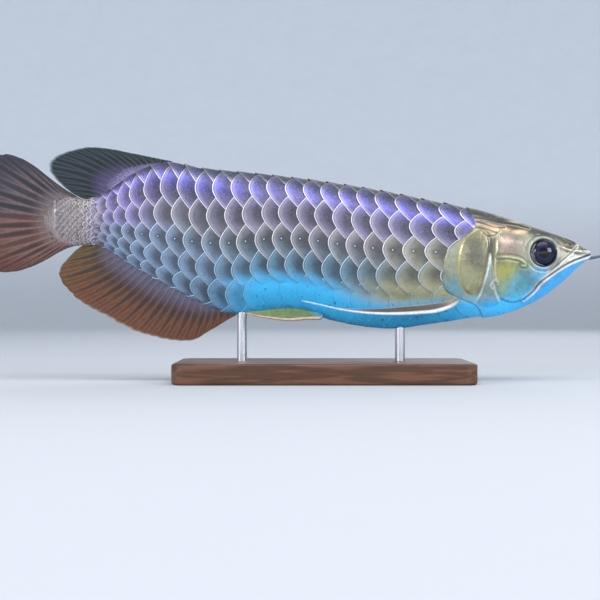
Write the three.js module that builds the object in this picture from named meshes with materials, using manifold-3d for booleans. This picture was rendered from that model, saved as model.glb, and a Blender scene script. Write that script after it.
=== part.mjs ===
// An Asian arowana, Scleropages formosus, as a life-size museum model on a plain display stand.
// Millimetres, +Z up. The fish points along +X, a little nose down, and its right side faces -Y.
// The origin is on the floor, under the middle of the whole model's box.
import * as THREE from "three";
import { mergeVertices } from "three/addons/utils/BufferGeometryUtils.js";
import Module from "manifold-3d";

const wasm = await Module();
wasm.setup();

// Driving dimensions
const CHIN_TIP_X = 181.2; // tip of the lower jaw
const TAIL_BASE_X = -138; // where the tail fin's rays begin, in the middle
const GAP = 0.3; // clearance between neighbouring pieces
const STEM_R = 3; // stand rods
const BASE = { x: 20, length: 176, width: 92, thickness: 12, corner: 8, bevel: 1.5 };
const EYE = { x: 150.3, y: 8.1, z: 76.5, radius: 8.1, depth: 5.2 };

// Body outline along X: top of the back, bottom of the belly and half the width
const BACK_LINE = [
  [-140, 112], [-128.4, 109.5], [-122.4, 108.7], [-111, 113], [-93.6, 124.5], [-78, 130.4], [-70.8, 130.8],
  [-54, 127.7], [-8.4, 123.1], [40.2, 116.4], [84, 108], [119.4, 100.2], [153.6, 89.4], [168, 84.4],
  [174.6, 80.9], [178.8, 78], [CHIN_TIP_X, 75.4],
];
const BELLY_LINE = [
  [-140, 79], [-128.4, 81.9], [-121.2, 82.4], [-114, 81], [-93.6, 68.7], [-59.4, 50.1], [-39, 41.4],
  [-31.2, 39.9], [-8.4, 42.4], [4.2, 42], [26.4, 36.1], [45, 32.6], [60.6, 31.4], [84, 34.2], [105.6, 37.3],
  [126, 39.7], [147, 47.7], [160.8, 57.3], [175.8, 70.8], [178.8, 72.9], [CHIN_TIP_X, 75.4],
];
const HALF_WIDTH = [
  [-140, 1.6], [-132, 3], [-122, 4.6], [-111, 6], [-93, 8.6], [-62, 12.8], [-30, 16.4], [0, 18.3], [30, 19],
  [62, 18.4], [90, 17.6], [103, 17.9], [120, 16.8], [138, 14], [152, 11.8], [164, 9], [173, 6], [178.8, 3],
  [CHIN_TIP_X, 0.4],
];
// Section shape: 0.5 and 0.5 give an ellipse, a lower back gives a flatter back, a higher keel a sharper belly
const BACK_SHAPE = [[-140, 0.5], [-60, 0.46], [60, 0.42], [120, 0.38], [165, 0.4], [CHIN_TIP_X, 0.5]];
const KEEL_SHAPE = [[-140, 0.5], [-60, 0.72], [40, 0.7], [100, 0.62], [150, 0.6], [CHIN_TIP_X, 0.5]];

// A smooth curve through [x, value] stations, which never overshoots them (Fritsch and Carlson's slopes)
function profile(stations) {
  const x = stations.map((s) => s[0]);
  const v = stations.map((s) => s[1]);
  const last = x.length - 1;
  const rise = x.slice(1).map((xi, i) => (v[i + 1] - v[i]) / (xi - x[i]));
  const slope = x.map((_, i) => {
    if (i === 0) return rise[0];
    if (i === last) return rise[last - 1];
    if (rise[i - 1] * rise[i] <= 0) return 0;
    return (2 * rise[i - 1] * rise[i]) / (rise[i - 1] + rise[i]);
  });
  return (at) => {
    const p = Math.min(Math.max(at, x[0]), x[last]);
    let i = 0;
    while (i < last - 1 && p > x[i + 1]) i++;
    const width = x[i + 1] - x[i];
    const t = (p - x[i]) / width;
    const a = (1 + 2 * t) * (1 - t) ** 2 * v[i] + t * t * (3 - 2 * t) * v[i + 1];
    return a + width * (t * (1 - t) ** 2 * slope[i] - t * t * (1 - t) * slope[i + 1]);
  };
}
const backLine = profile(BACK_LINE);
const bellyLine = profile(BELLY_LINE);
const halfWidth = profile(HALF_WIDTH);
const backShape = profile(BACK_SHAPE);
const keelShape = profile(KEEL_SHAPE);

// A point on the skin. angle is 0 on the back's midline, pi on the belly's, and negative on the right side
function bareSkin(x, angle) {
  const turn = THREE.MathUtils.euclideanModulo(angle + Math.PI, 2 * Math.PI) - Math.PI;
  const half = Math.abs(turn) / 2;
  const b = backShape(x);
  const k = keelShape(x);
  const widest = (b / (b + k)) ** b * (k / (b + k)) ** k;
  const bulge = (Math.sin(half) ** (2 * b) * Math.cos(half) ** (2 * k)) / widest;
  const share = Math.cos(half) ** 2;
  const z = bellyLine(x) + (backLine(x) - bellyLine(x)) * share;
  return new THREE.Vector3(x, Math.sign(turn) * halfWidth(x) * bulge, z);
}

// The same point raised along the skin's outward direction by lift
function skin(x, angle, lift = 0) {
  const here = bareSkin(x, angle);
  if (!lift) return here;
  const step = 0.02;
  const around = bareSkin(x, angle + step).sub(bareSkin(x, angle - step));
  const along = bareSkin(x + step, angle).sub(bareSkin(x - step, angle));
  const out = along.cross(around).normalize();
  return here.addScaledVector(out, lift);
}

// Collects points and triangles into one closed surface
function shell() {
  const points = [];
  const faces = [];
  return {
    point: (p) => points.push(p) - 1,
    place: (index) => points[index],
    face: (a, b, c) => faces.push(a, b, c),
    quad: (a, b, c, d) => faces.push(a, b, c, a, c, d),
    solid() {
      const vertProperties = new Float32Array(points.flatMap((p) => [p.x, p.y, p.z]));
      let made = new wasm.Manifold(new wasm.Mesh({ numProp: 3, vertProperties, triVerts: new Uint32Array(faces) }));
      if (made.volume() < 0) {
        faces.reverse();
        made = new wasm.Manifold(new wasm.Mesh({ numProp: 3, vertProperties, triVerts: new Uint32Array(faces) }));
      }
      return made;
    },
  };
}

// A three.js geometry as a solid
function solidOf(geometry) {
  const bare = new THREE.BufferGeometry().setAttribute("position", geometry.getAttribute("position").clone());
  if (geometry.index) bare.setIndex(geometry.index.clone());
  const merged = mergeVertices(bare, 1e-4);
  return new wasm.Manifold(
    new wasm.Mesh({
      numProp: 3,
      vertProperties: new Float32Array(merged.getAttribute("position").array),
      triVerts: new Uint32Array(merged.index.array),
    }),
  );
}

function geometryOf(made) {
  const mesh = made.getMesh();
  return new THREE.BufferGeometry()
    .setAttribute("position", new THREE.BufferAttribute(new Float32Array(mesh.vertProperties), 3))
    .setIndex(new THREE.BufferAttribute(new Uint32Array(mesh.triVerts), 1));
}

// The largest closed surface of a solid that a cut may have left in pieces
function largest(made) {
  return made.decompose().sort((a, b) => b.volume() - a.volume())[0];
}

// A smooth length of the body with closed ends, its skin raised by lift. crowd above 1 packs the rings at the front
function loft({ from, to, rings, around, lift = 0, crowd = 1 }) {
  const body = shell();
  const rows = [];
  for (let i = 0; i <= rings; i++) {
    const x = to + (from - to) * (1 - i / rings) ** crowd;
    const row = [];
    for (let j = 0; j < around; j++) row.push(body.point(skin(x, (j / around) * 2 * Math.PI, lift)));
    rows.push(row);
  }
  for (let i = 0; i < rings; i++)
    for (let j = 0; j < around; j++) {
      const k = (j + 1) % around;
      body.quad(rows[i][j], rows[i][k], rows[i + 1][k], rows[i + 1][j]);
    }
  const ends = [[from, rows[0], 1], [to, rows[rings], -1]];
  for (const [x, row, way] of ends) {
    const centre = body.point(new THREE.Vector3(x, 0, (backLine(x) + bellyLine(x)) / 2));
    for (let j = 0; j < around; j++) {
      const k = (j + 1) % around;
      if (way > 0) body.face(centre, row[k], row[j]);
      else body.face(centre, row[j], row[k]);
    }
  }
  return body.solid();
}

// Points on a smooth curve through hand-set [x, z] points
function smooth(points, count) {
  const curve = new THREE.SplineCurve(points.map(([x, z]) => new THREE.Vector2(x, z)));
  return curve.getSpacedPoints(count);
}

// A side view's outline carried straight across the fish. grow moves its wall outwards
function prism(outline, grow = 0, reach = 40) {
  const turn = THREE.ShapeUtils.area(outline) < 0 ? -1 : 1;
  const grown = outline.map((p, i) => {
    const before = outline[(i + outline.length - 1) % outline.length];
    const after = outline[(i + 1) % outline.length];
    const along = after.clone().sub(before).normalize();
    return new THREE.Vector2(p.x + turn * along.y * grow, p.y - turn * along.x * grow);
  });
  const block = new THREE.ExtrudeGeometry(new THREE.Shape(grown), { depth: 2 * reach, bevelEnabled: false });
  block.rotateX(Math.PI / 2).translate(0, reach, 0);
  return solidOf(block);
}

// Side-view outlines, [x, z]
const GILL_OPENING = [
  [104, 116], [105.6, 101.4], [109.4, 93.5], [100.3, 84], [93.6, 78.6], [90.6, 70.2], [89.8, 61.8],
  [91.8, 54.6], [98, 50.6], [112.1, 43.6], [116.4, 33.6], [118, 20],
];
const COVER_FRONT = [[115.4, 47], [112.6, 54], [114.6, 61.8], [117, 71.4], [118.5, 81], [115.8, 89.2]];
const MOUTH_LINE = [
  [186, 77.4], [178, 75.2], [171.6, 73.2], [163.2, 69.4], [154.2, 63.5], [149, 59.3], [144, 53.4],
  [139, 49.2], [133.5, 42], [131, 34],
];
const MAXILLA_TOP = [[147.5, 58], [153.2, 64.6], [159, 69.8], [165, 74.8], [171.3, 80.2], [177.5, 80.5]];
const CHEEK_UPPER = [[122.6, 73.8], [139.2, 71.2], [146, 66.4], [141, 82], [133, 85], [122.2, 84.6]];
const CHEEK_LOWER = [[123, 57.6], [125.4, 49.4], [132, 48], [139, 51.2], [146, 60.6], [145, 66], [139.2, 70], [122.4, 72.6]];
const PREOPERCLE = [[118, 74.8], [115.4, 58], [116.4, 47.6], [122.2, 48.4], [120.6, 60]];

const HEAD_MESH = { from: 84, to: CHIN_TIP_X, rings: 16, around: 28, crowd: 1.25 };
const COVER_MESH = { from: 80, to: 128, rings: 9, around: 28 };
const COVER_LIFT = 0.9;
const COVER_DEPTH = 2;
const PLATE_LIFT = 0.5;

const openingLine = smooth(GILL_OPENING, 28);
const headOutline = [...openingLine, new THREE.Vector2(205, 20), new THREE.Vector2(205, 116)];
const coverRear = smooth(GILL_OPENING.slice(2, -2), 22);
const coverOutline = [...coverRear, ...smooth(COVER_FRONT, 10)];
const mouthLine = smooth(MOUTH_LINE, 18);
const jawOutline = [...mouthLine, new THREE.Vector2(205, 34)];

// A plate's side-view outline raised on the head's skin, on both sides at once
function raisedPlate(points, lift, count = 16) {
  const curve = new THREE.SplineCurve([...points, points[0]].map(([x, z]) => new THREE.Vector2(x, z)));
  return loft({ ...HEAD_MESH, lift }).intersect(prism(curve.getSpacedPoints(count).slice(0, -1)));
}

// A side-view band on either side of a line, such as a lip
function band(line, wide, count = 14) {
  const points = smooth(line, count);
  const offset = (p, i, way) => {
    const along = points[Math.min(i + 1, count)].clone().sub(points[Math.max(i - 1, 0)]).normalize();
    return new THREE.Vector2(p.x - along.y * wide * way, p.y + along.x * wide * way);
  };
  return [...points.map((p, i) => offset(p, i, 1)), ...points.map((p, i) => offset(p, i, -1)).reverse()];
}

function ellipsoid(centre, radii, around = 16, down = 9) {
  const ball = new THREE.SphereGeometry(1, around, down).scale(...radii).translate(...centre);
  return solidOf(ball);
}

const group = new THREE.Group();
group.name = "asian_arowana";

function add(name, made, colour, roughness, metalness = 0) {
  const material = new THREE.MeshStandardMaterial({ color: colour, roughness, metalness });
  const mesh = new THREE.Mesh(made instanceof THREE.BufferGeometry ? made : geometryOf(made), material);
  mesh.name = name;
  group.add(mesh);
}

// Head, with its sockets, gill cover pockets and raised cheek plates
const eyeRadii = (grow) => [EYE.radius + grow, EYE.depth + grow, EYE.radius + grow];
const headSkin = loft(HEAD_MESH);
const coverPocket = prism(coverOutline, GAP).subtract(loft({ ...COVER_MESH, lift: -COVER_DEPTH - GAP }));
const orbit = raisedPlate(
  Array.from({ length: 12 }, (_, i) => {
    const turn = (i / 12) * 2 * Math.PI;
    return [EYE.x + 10.4 * Math.cos(turn), EYE.z + 9.8 * Math.sin(turn)];
  }),
  PLATE_LIFT,
  24,
);
let head = headSkin;
head = head.add(raisedPlate(CHEEK_UPPER, PLATE_LIFT));
head = head.add(raisedPlate(CHEEK_LOWER, PLATE_LIFT));
head = head.add(raisedPlate(PREOPERCLE, PLATE_LIFT));
head = head.add(orbit);
const maxilla = [...smooth(MOUTH_LINE.slice(1, 7), 10), ...smooth(MAXILLA_TOP, 10)];
head = head.add(loft({ ...HEAD_MESH, lift: PLATE_LIFT }).intersect(prism(maxilla)));
head = head.intersect(prism(headOutline));
head = head.subtract(prism(jawOutline, GAP / 2));
head = head.subtract(coverPocket);
for (const side of [-1, 1]) {
  head = head.subtract(ellipsoid([EYE.x, side * EYE.y, EYE.z], eyeRadii(GAP)));
}

// Nostrils, a short open tube on each side of the snout
const NOSTRIL = { x: 166.6, z: 81.2, outer: 1.3, inner: 0.65, proud: 1.3, deep: 2.4 };
for (const side of [-1, 1]) {
  const out = new THREE.Vector3(0.35, side * 0.75, 0.6).normalize();
  const foot = new THREE.Vector3(NOSTRIL.x, side * 6.4, NOSTRIL.z);
  const tube = (radius, from, to) => {
    const rod = new THREE.CylinderGeometry(radius, radius, to - from, 12);
    rod.translate(0, (from + to) / 2, 0);
    rod.applyQuaternion(new THREE.Quaternion().setFromUnitVectors(new THREE.Vector3(0, 1, 0), out));
    return solidOf(rod.translate(foot.x, foot.y, foot.z));
  };
  head = head.add(tube(NOSTRIL.outer, -NOSTRIL.deep, NOSTRIL.proud));
  head = head.subtract(tube(NOSTRIL.inner, -0.8, NOSTRIL.proud + 1));
}
add("head", largest(head), 0x6d7259, 0.45);

// Lower jaw, with the lip along its upper edge
const lip = loft({ ...HEAD_MESH, lift: 0.6 }).intersect(prism(band(MOUTH_LINE.slice(0, 8), 1.6)));
const jaw = headSkin.add(lip).intersect(prism(jawOutline, -GAP / 2));
add("lower_jaw", largest(jaw), 0x5d93b8, 0.45);

// Gill covers
const coverShell = loft({ ...COVER_MESH, lift: COVER_LIFT }).subtract(loft({ ...COVER_MESH, from: 78, to: 130, lift: -COVER_DEPTH }));
const covers = coverShell.intersect(prism(coverOutline)).intersect(prism(headOutline));
for (const [name, side] of [["gill_cover_right", -1], ["gill_cover_left", 1]]) {
  const half = new THREE.BoxGeometry(80, 60, 120).translate(100, side * 31, 60);
  add(name, largest(covers.intersect(solidOf(half))), 0x9a9f6a, 0.4);
}

// Eyes
for (const [name, side] of [["eye_right", -1], ["eye_left", 1]]) {
  add(name, ellipsoid([EYE.x, side * EYE.y, EYE.z], eyeRadii(0)), 0x0b0d1c, 0.08);
}

// Scales. They lie in twelve rows round the body, row 0 on the back's midline, row 3 along the lateral line and
// row 6 under the belly, and every other row is set half a scale forwards. A scale's free edge is an arc that
// ends on the arcs of the scales in front of it, and the body steps down by SCALE_STEP behind each arc
const ROWS = 12;
const ROW_ANGLE = profile([[0, 0], [1, 0.68], [2, 1.16], [3, 1.55], [4, 1.94], [5, 2.36], [6, Math.PI]]);
const SCALE_PITCH = profile([[-140, 6.6], [-110, 9], [-66, 10.6], [40, 10.7], [66, 12.6], [100, 13.4]]);
const FIRST_ROW_APEX_X = -56.5; // the free edge of one scale of row 1
const ROW_LEAN = 0.18; // each row lies this share of a scale further forwards than the row above
const ARC_BOW = 1; // how far a free edge bows backwards over one row's width, in scales
const ARC_END = 0.5 + 0.25 / ARC_BOW; // where an arc meets the arcs in front of it, in rows from its middle
const ARC_STOPS = [-0.5, ARC_END - 1, 0, 1 - ARC_END, 0.5];
const SCALE_STEP = 0.8;
const SCALE_SINK = 0.2; // how far an arc's foot lies below the smooth skin
const BEHIND = 9; // scales behind the one at FIRST_ROW_APEX_X
const AHEAD = 15;
const TAIL_END_X = -140;

// Where the body is, along X, at a number of scales from FIRST_ROW_APEX_X
const scaleMarks = [[0, FIRST_ROW_APEX_X]];
const MARK_STEP = 0.25;
for (let u = 0, x = FIRST_ROW_APEX_X; u < AHEAD + 6; u += MARK_STEP) {
  x += SCALE_PITCH(x) * MARK_STEP;
  scaleMarks.push([u + MARK_STEP, x]);
}
for (let u = 0, x = FIRST_ROW_APEX_X; u > -BEHIND - 6; u -= MARK_STEP) {
  x -= SCALE_PITCH(x) * MARK_STEP;
  scaleMarks.unshift([u - MARK_STEP, x]);
}
const alongScales = profile(scaleMarks);

function scalePoint(row, number, stop, lift) {
  const across = THREE.MathUtils.euclideanModulo(row + stop + ROWS / 2, ROWS) - ROWS / 2;
  const shift = row % 2 === 0 ? 0.5 : 0;
  const u = number + shift + ROW_LEAN * (Math.abs(across) - 1) + ARC_BOW * stop * stop;
  const x = Math.max(alongScales(u), TAIL_END_X + 1);
  return skin(x, Math.sign(across) * ROW_ANGLE(Math.abs(across)), lift);
}

function scaledBody() {
  const body = shell();
  const feet = new Map();
  const tops = new Map();
  const key = (row, number) => `${(row + ROWS) % ROWS} ${number}`;
  for (let row = 0; row < ROWS; row++)
    for (let number = -BEHIND; number <= AHEAD; number++) {
      const foot = ARC_STOPS.map((stop) => body.point(scalePoint(row, number, stop, -SCALE_SINK)));
      feet.set(key(row, number), foot);
      const lift = SCALE_STEP - SCALE_SINK;
      if (number < AHEAD) tops.set(key(row, number), ARC_STOPS.map((stop) => body.point(scalePoint(row, number, stop, lift))));
    }
  for (let row = 0; row < ROWS; row++)
    for (let number = -BEHIND; number < AHEAD; number++) {
      const ahead = row % 2 === 0 ? number + 1 : number;
      const above = feet.get(key(row - 1, ahead));
      const below = feet.get(key(row + 1, ahead));
      const next = feet.get(key(row, number + 1));
      const top = tops.get(key(row, number));
      const foot = feet.get(key(row, number));
      const front = [above[4], next[1], next[2], next[3], below[0]];
      body.face(above[3], top[0], front[0]);
      body.face(top[4], below[1], front[4]);
      body.face(above[3], foot[0], top[0]);
      body.face(top[4], foot[4], below[1]);
      for (let i = 0; i < 4; i++) {
        body.quad(top[i], top[i + 1], front[i + 1], front[i]);
        body.quad(foot[i], foot[i + 1], top[i + 1], top[i]);
      }
    }
  for (const [number, x, way] of [[-BEHIND, TAIL_END_X, 1], [AHEAD, 130, -1]]) {
    const loop = [];
    for (let row = 0; row < ROWS; row++) {
      const foot = feet.get(key(row, number));
      loop.push(...(row % 2 === 0 ? foot.slice(1, 4) : foot));
    }
    const ring = loop.map((at) => {
      const from = body.place(at);
      return body.point(new THREE.Vector3(x, from.y * 0.8, from.z));
    });
    const centre = body.point(new THREE.Vector3(x, 0, (backLine(x) + bellyLine(x)) / 2));
    loop.forEach((at, i) => {
      const j = (i + 1) % loop.length;
      const corners = [at, loop[j], ring[j], ring[i]];
      if (way > 0) corners.reverse();
      body.quad(...corners);
      if (way > 0) body.face(ring[j], ring[i], centre);
      else body.face(ring[i], ring[j], centre);
    });
  }
  return body.solid();
}

// Trunk and tail base, parted by a thin cut
const TAIL_CUT_X = -111;
const flesh = largest(scaledBody().subtract(prism(headOutline, GAP)));
const behind = solidOf(new THREE.BoxGeometry(60, 60, 120).translate(TAIL_CUT_X - 30 - GAP / 2, 0, 90));
const before = solidOf(new THREE.BoxGeometry(260, 60, 160).translate(TAIL_CUT_X + 130 + GAP / 2, 0, 80));
add("trunk", largest(flesh.intersect(before)), 0x66709c, 0.4);
add("tail_base", largest(flesh.intersect(behind)), 0xb3a892, 0.5);

// A fin. at(s, t) gives its middle surface, s across the rays and t from root to edge. Rays are ridges on
// the membrane, and face is the direction in which the thickness is laid off
function fin({ at, rays, rows, root, edge, ridge, face }) {
  const columns = 2 * rays;
  const body = shell();
  const sides = [1, -1].map((way) => {
    const grid = [];
    for (let i = 0; i <= columns; i++) {
      const onRay = i % 2 === 1 || i === 0;
      const line = [];
      for (let j = 0; j <= rows; j++) {
        const t = j / rows;
        const thick = root + (edge - root) * Math.sqrt(t) + (onRay ? ridge * (1 - 0.75 * t) : 0);
        line.push(body.point(at(i / columns, t).addScaledVector(face, (way * thick) / 2)));
      }
      grid.push(line);
    }
    return grid;
  });
  const [near, far] = sides;
  for (let i = 0; i < columns; i++)
    for (let j = 0; j < rows; j++) {
      body.quad(near[i][j], near[i + 1][j], near[i + 1][j + 1], near[i][j + 1]);
      body.quad(far[i][j], far[i][j + 1], far[i + 1][j + 1], far[i + 1][j]);
    }
  for (let i = 0; i < columns; i++) {
    body.quad(near[i][0], far[i][0], far[i + 1][0], near[i + 1][0]);
    body.quad(near[i][rows], near[i + 1][rows], far[i + 1][rows], far[i][rows]);
  }
  for (let j = 0; j < rows; j++) {
    body.quad(near[0][j], near[0][j + 1], far[0][j + 1], far[0][j]);
    body.quad(near[columns][j], far[columns][j], far[columns][j + 1], near[columns][j + 1]);
  }
  return body.solid();
}

// Middle surface of a fin that stands on the mid-plane, between a root inside the body and its outer edge.
// bow bends each ray backwards, as a share of its length
function upright(rootPoints, edgePoints, bow) {
  const spline = (points) => new THREE.SplineCurve(points.map(([x, z]) => new THREE.Vector2(x, z)));
  const foot = spline(rootPoints);
  const rim = spline(edgePoints);
  return (s, t) => {
    const a = foot.getPointAt(s);
    const b = rim.getPointAt(s);
    const sag = bow * Math.sin(Math.PI * t) * a.distanceTo(b);
    return new THREE.Vector3(a.x + (b.x - a.x) * t, 0, a.y + (b.y - a.y) * t + sag);
  };
}

const ACROSS = new THREE.Vector3(0, 1, 0);
const bodyGap = loft({
  from: TAIL_END_X - GAP, to: 126, rings: 32, around: 36, lift: SCALE_STEP - SCALE_SINK + GAP,
});

const DORSAL_ROOT = [[-70, 124], [-90, 120], [-106, 110], [-114, 105]];
const DORSAL_EDGE = [
  [-70.8, 132], [-82.8, 134.4], [-93.6, 136.6], [-105, 138.9], [-116.4, 140.4], [-123, 140.4], [-128.4, 139.3],
  [-134.4, 137.6], [-139.8, 135.2], [-143.4, 132.6], [-144.8, 129.3], [-144.3, 126], [-142.2, 123],
  [-138.6, 119.1], [-133.8, 114.9], [-129, 111.6], [-124.2, 109.4], [-116, 108.6],
];
const dorsal = fin({
  at: upright(DORSAL_ROOT, DORSAL_EDGE, 0.05),
  rays: 14, rows: 5, root: 1.7, edge: 0.55, ridge: 0.9, face: ACROSS,
});
add("dorsal_fin", largest(dorsal.subtract(bodyGap)), 0x33454d, 0.5);

const ANAL_ROOT = [[-33, 44], [-59, 56], [-93, 75], [-108, 86], [-113, 90]];
const ANAL_EDGE = [
  [-32.4, 39.3], [-34.8, 38.1], [-40.8, 34.5], [-49.2, 29.4], [-57.6, 24.7], [-63.6, 24], [-70.8, 24.5],
  [-78.6, 25.8], [-86.4, 27.6], [-93.6, 30], [-102.6, 34.5], [-112.2, 40], [-118.8, 43.2], [-124.8, 47],
  [-130.2, 51.3], [-135, 56.4], [-138, 61.2], [-138.8, 65.4], [-137.4, 69], [-134.4, 72.6], [-130.8, 76.5],
  [-126, 80.4], [-121, 82.6], [-117, 85],
];
const anal = fin({
  at: upright(ANAL_ROOT, ANAL_EDGE, -0.04),
  rays: 22, rows: 5, root: 1.7, edge: 0.55, ridge: 0.9, face: ACROSS,
});
add("anal_fin", largest(anal.subtract(bodyGap)), 0x6e4132, 0.5);

const CAUDAL_ROOT = [[-124, 108], [-127, 104], [-130, 96], [-127, 88], [-124, 83]];
const CAUDAL_EDGE = [
  [-126, 109.6], [-136.8, 116.4], [-145.2, 122.7], [-151.2, 127.5], [-156.8, 131.4], [-162, 134.1], [-166.8, 135.6],
  [-171.6, 136.4], [-175.4, 135.9], [-182.4, 131.4], [-189, 124], [-194.4, 113], [-196.8, 100], [-195.6, 86.5],
  [-191, 76], [-184, 69.2], [-175.4, 65.4], [-168, 65.2], [-156.8, 67.8], [-145.2, 73.3], [-139.8, 76.5],
  [-133.8, 79.5], [-125, 82],
];
const caudal = fin({
  at: upright(CAUDAL_ROOT, CAUDAL_EDGE, 0),
  rays: 16, rows: 5, root: 2, edge: 0.55, ridge: 0.9, face: ACROSS,
});
add("caudal_fin", largest(caudal.subtract(bodyGap)), 0x5a5468, 0.5);

// A paired fin, between its leading edge and its trailing edge, both given on the right side as [x, y, z]
function blade(leading, trailing, side) {
  const spline = (points) => new THREE.CatmullRomCurve3(points.map(([x, y, z]) => new THREE.Vector3(x, -side * y, z)));
  const front = spline(leading);
  const back = spline(trailing);
  return (s, t) => front.getPointAt(t).lerp(back.getPointAt(t), s);
}

const PECTORAL_LEAD = [
  [100.5, -11, 48], [97, -17.5, 45.6], [88, -22.5, 42.2], [75, -28, 40.8], [60, -33, 40.4], [45, -37.5, 41],
  [30, -41.5, 43], [17, -44.5, 46], [6.9, -46.5, 48.2],
];
const PECTORAL_TRAIL = [
  [97.5, -10.5, 49.2], [92, -13.5, 47], [80, -15.5, 45.4], [66, -18.5, 44.2], [52, -23.5, 43.1], [38, -30, 43],
  [25, -36.5, 44.2], [14, -42.5, 46.6], [6.5, -45.6, 48.2],
];
const PELVIC_LEAD = [
  [19.6, -6, 39.2], [18.6, -10.5, 37.8], [9.6, -13, 37.4], [0, -15.5, 36.6], [-9, -18, 37.5], [-17, -20.5, 38.8],
  [-26.4, -23, 41],
];
const PELVIC_TRAIL = [
  [16.6, -5.5, 40.4], [14, -7, 40.6], [6, -8.5, 42.6], [-2, -11, 43.2], [-10, -14.5, 42.8], [-18, -18.6, 41.8],
  [-26, -22.3, 41.2],
];
const UP = new THREE.Vector3(0, 0, 1);
for (const [word, side] of [["right", -1], ["left", 1]]) {
  const pectoral = fin({
    at: blade(PECTORAL_LEAD, PECTORAL_TRAIL, side),
    rays: 6, rows: 7, root: 1.9, edge: 0.7, ridge: 0.8, face: UP,
  });
  add(`pectoral_fin_${word}`, largest(pectoral.subtract(bodyGap)), 0xc9c6b4, 0.5);
  const pelvic = fin({
    at: blade(PELVIC_LEAD, PELVIC_TRAIL, side),
    rays: 5, rows: 6, root: 1.6, edge: 0.7, ridge: 0.7, face: UP,
  });
  add(`pelvic_fin_${word}`, largest(pelvic.subtract(bodyGap)), 0x7f9a58, 0.5);
}

// Chin barbels, two short tapering feelers that reach forwards from the tip of the lower jaw
const BARBEL_PATH = [[176.5, 1.4, 73.6], [181, 2.2, 73.9], [186, 3.2, 74.9], [191.5, 4.2, 76], [196.8, 5, 76.4]];
const BARBEL_RADIUS = { root: 1.1, tip: 0.45 };
const BARBEL_STEPS = 10;
const BARBEL_SIDES = 6;
function feeler(path) {
  const frames = path.computeFrenetFrames(BARBEL_STEPS, false);
  const tube = shell();
  const rings = [];
  for (let i = 0; i <= BARBEL_STEPS; i++) {
    const centre = path.getPointAt(i / BARBEL_STEPS);
    const radius = BARBEL_RADIUS.root + ((BARBEL_RADIUS.tip - BARBEL_RADIUS.root) * i) / BARBEL_STEPS;
    const ring = [];
    for (let j = 0; j < BARBEL_SIDES; j++) {
      const turn = (j / BARBEL_SIDES) * 2 * Math.PI;
      const out = frames.normals[i].clone().multiplyScalar(Math.cos(turn));
      out.addScaledVector(frames.binormals[i], Math.sin(turn));
      ring.push(tube.point(centre.clone().addScaledVector(out, radius)));
    }
    rings.push(ring);
  }
  const ends = [tube.point(path.getPointAt(0)), tube.point(path.getPointAt(1))];
  for (let j = 0; j < BARBEL_SIDES; j++) {
    const k = (j + 1) % BARBEL_SIDES;
    for (let i = 0; i < BARBEL_STEPS; i++) tube.quad(rings[i][j], rings[i][k], rings[i + 1][k], rings[i + 1][j]);
    tube.face(ends[0], rings[0][k], rings[0][j]);
    tube.face(ends[1], rings[BARBEL_STEPS][j], rings[BARBEL_STEPS][k]);
  }
  return tube.solid();
}
const jawGap = loft({ ...HEAD_MESH, lift: 0.6 + GAP });
for (const [word, side] of [["right", -1], ["left", 1]]) {
  const path = new THREE.CatmullRomCurve3(BARBEL_PATH.map(([x, y, z]) => new THREE.Vector3(x, side * y, z)));
  add(`barbel_${word}`, largest(feeler(path).subtract(jawGap)), 0x2f6f9e, 0.5);
}

// Display stand, a flat base with two rods that stand in sockets and reach up to the belly
const RODS = [["stand_rod_front", 66], ["stand_rod_rear", -28.8]];
const SOCKET_FLOOR = 5;
const half = { x: BASE.length / 2 - BASE.bevel, y: BASE.width / 2 - BASE.bevel };
const c = BASE.corner;
const plan = new THREE.Shape();
plan.moveTo(-half.x + c, -half.y);
plan.lineTo(half.x - c, -half.y).absarc(half.x - c, -half.y + c, c, -Math.PI / 2, 0);
plan.lineTo(half.x, half.y - c).absarc(half.x - c, half.y - c, c, 0, Math.PI / 2);
plan.lineTo(-half.x + c, half.y).absarc(-half.x + c, half.y - c, c, Math.PI / 2, Math.PI);
plan.lineTo(-half.x, -half.y + c).absarc(-half.x + c, -half.y + c, c, Math.PI, 1.5 * Math.PI);
const slab = new THREE.ExtrudeGeometry(plan, {
  depth: BASE.thickness - 2 * BASE.bevel,
  bevelThickness: BASE.bevel,
  bevelSize: BASE.bevel,
  bevelSegments: 2,
  curveSegments: 4,
}).translate(BASE.x, 0, BASE.bevel);
let base = solidOf(slab);
for (const [name, x] of RODS) {
  const rod = (radius, from, to) =>
    solidOf(new THREE.CylinderGeometry(radius, radius, to - from, 20).rotateX(Math.PI / 2).translate(x, 0, (from + to) / 2));
  base = base.subtract(rod(STEM_R + GAP, SOCKET_FLOOR, BASE.thickness + 5));
  const stem = rod(STEM_R, SOCKET_FLOOR + GAP, 60).subtract(bodyGap);
  const below = stem.decompose().sort((a, b) => a.boundingBox().min[2] - b.boundingBox().min[2])[0];
  add(name, below, 0xa7abb0, 0.3, 0.9);
}
add("stand_base", base, 0x4a3325, 0.5);

export default group;
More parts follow.
